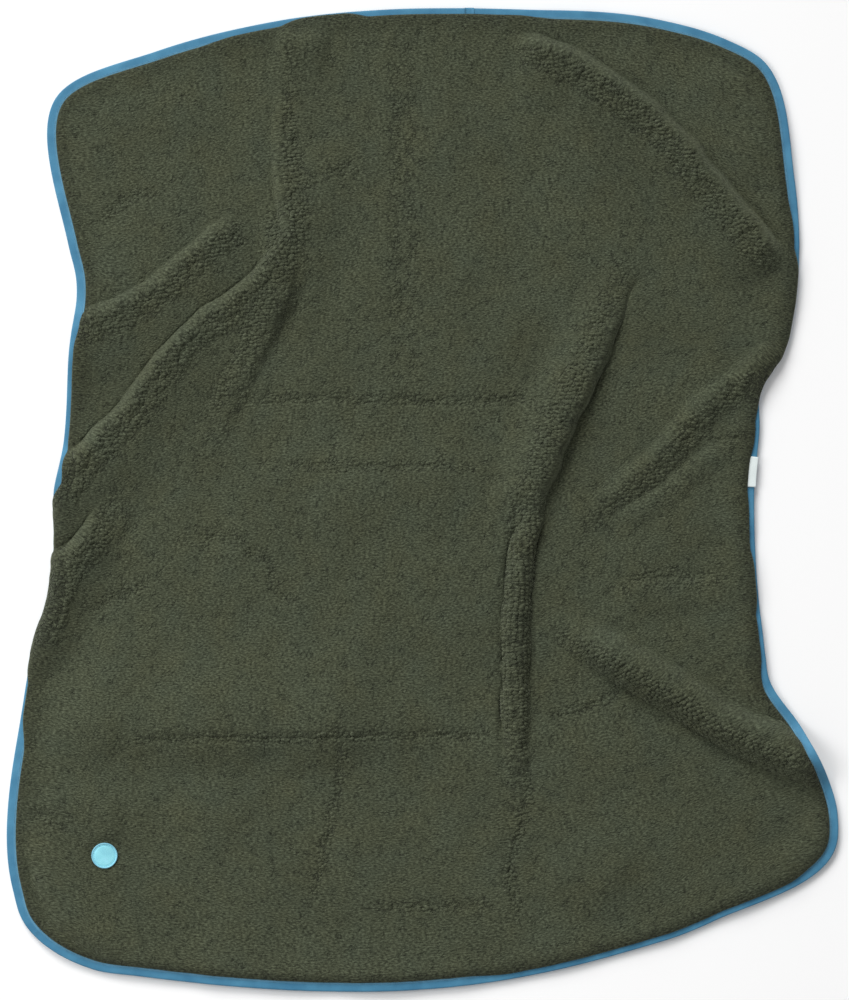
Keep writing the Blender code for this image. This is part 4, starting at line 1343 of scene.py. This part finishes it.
# %% [markdown]
# ## On to the frame
#
# Everything belongs to the blanket's body except the ribbon label, which is left on no body, with
# its placing baked into its points.

# %% Bodies
on_blanket = (
    pile_cloth, pile_clumps, knit_back, tape, tape_lap, needle_stitches, bobbin_stitches, patch,
    patch_rim, patch_stitches, tack_stitches,
)  # fmt: skip
for piece in on_blanket:
    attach(piece, "blanket")
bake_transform(ribbon_label)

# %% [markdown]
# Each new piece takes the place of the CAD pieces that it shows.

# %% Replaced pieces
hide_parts("pile_panel")
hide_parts("back_panel")
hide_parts("edge_binding")
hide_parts("binding_needle_thread")
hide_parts("binding_bobbin_thread")
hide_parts("patch_disc")
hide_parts("patch_rim")
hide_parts("patch_thread")
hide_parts("label_tail", "side_label")
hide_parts("label_tack")

# %% [markdown]
# ## Floor, light and view
#
# The blanket lies on a plain white floor, seen from straight above through a long lens. One wide
# soft light stands towards the head end, so fold flanks that face the foot end fall a little
# darker. A large panel at the left lights that side a little more, and an even pale sky fills
# the rest.


# %% Studio
def soft_lamp(name, kind, place, power, **settings):
    """A lamp turned to the middle of the blanket. settings are those of its kind: the angle
    that a sun's light is spread over, or an area's shape and size."""
    light = bpy.data.lights.new(name, kind)
    light.energy = power
    for setting, value in settings.items():
        setattr(light, setting, value)
    lamp = bpy.data.objects.new(name, light)
    lamp.location = place
    lamp.rotation_euler = Vector(place).to_track_quat("Z", "Y").to_euler()
    bpy.context.scene.collection.objects.link(lamp)
    return lamp


FLOOR_HALF, FLOOR_BELOW = 6.0, 0.0005
corners = np.array([(-1, -1), (1, -1), (1, 1), (-1, 1)]) * FLOOR_HALF
floor_points = np.column_stack([corners, np.full(4, -FLOOR_BELOW)])
floor = mesh_object("floor", floor_points, [np.array([[0, 1, 2, 3]])], smooth=False)
floor_paint, _, _ = finish("floor_paint", 0.9, 0.0, Base_Color=colour(251, 251, 251))
floor.data.materials.append(floor_paint)
key = soft_lamp("key", "SUN", (-2.0, 6.0, 3.8), 2.25, angle=0.5)
fill = soft_lamp("fill", "AREA", (-2.9, 0.6, 2.9), 80, shape="SQUARE", size=2.4)

scene = bpy.context.scene
scene.world = bpy.data.worlds.new("sky")
scene.world.use_nodes = True
sky = scene.world.node_tree.nodes["Background"]
sky.inputs["Color"].default_value = (1, 1, 1, 1)
sky.inputs["Strength"].default_value = 0.405
scene.view_settings.view_transform = "Standard"

lens = bpy.data.cameras.new("view")
lens.sensor_fit = "VERTICAL"
lens.sensor_height = 24
lens.lens = 85
camera = bpy.data.objects.new("view", lens)
camera.location = (0.003, 0.0, 5.393)
scene.collection.objects.link(camera)
scene.camera = camera
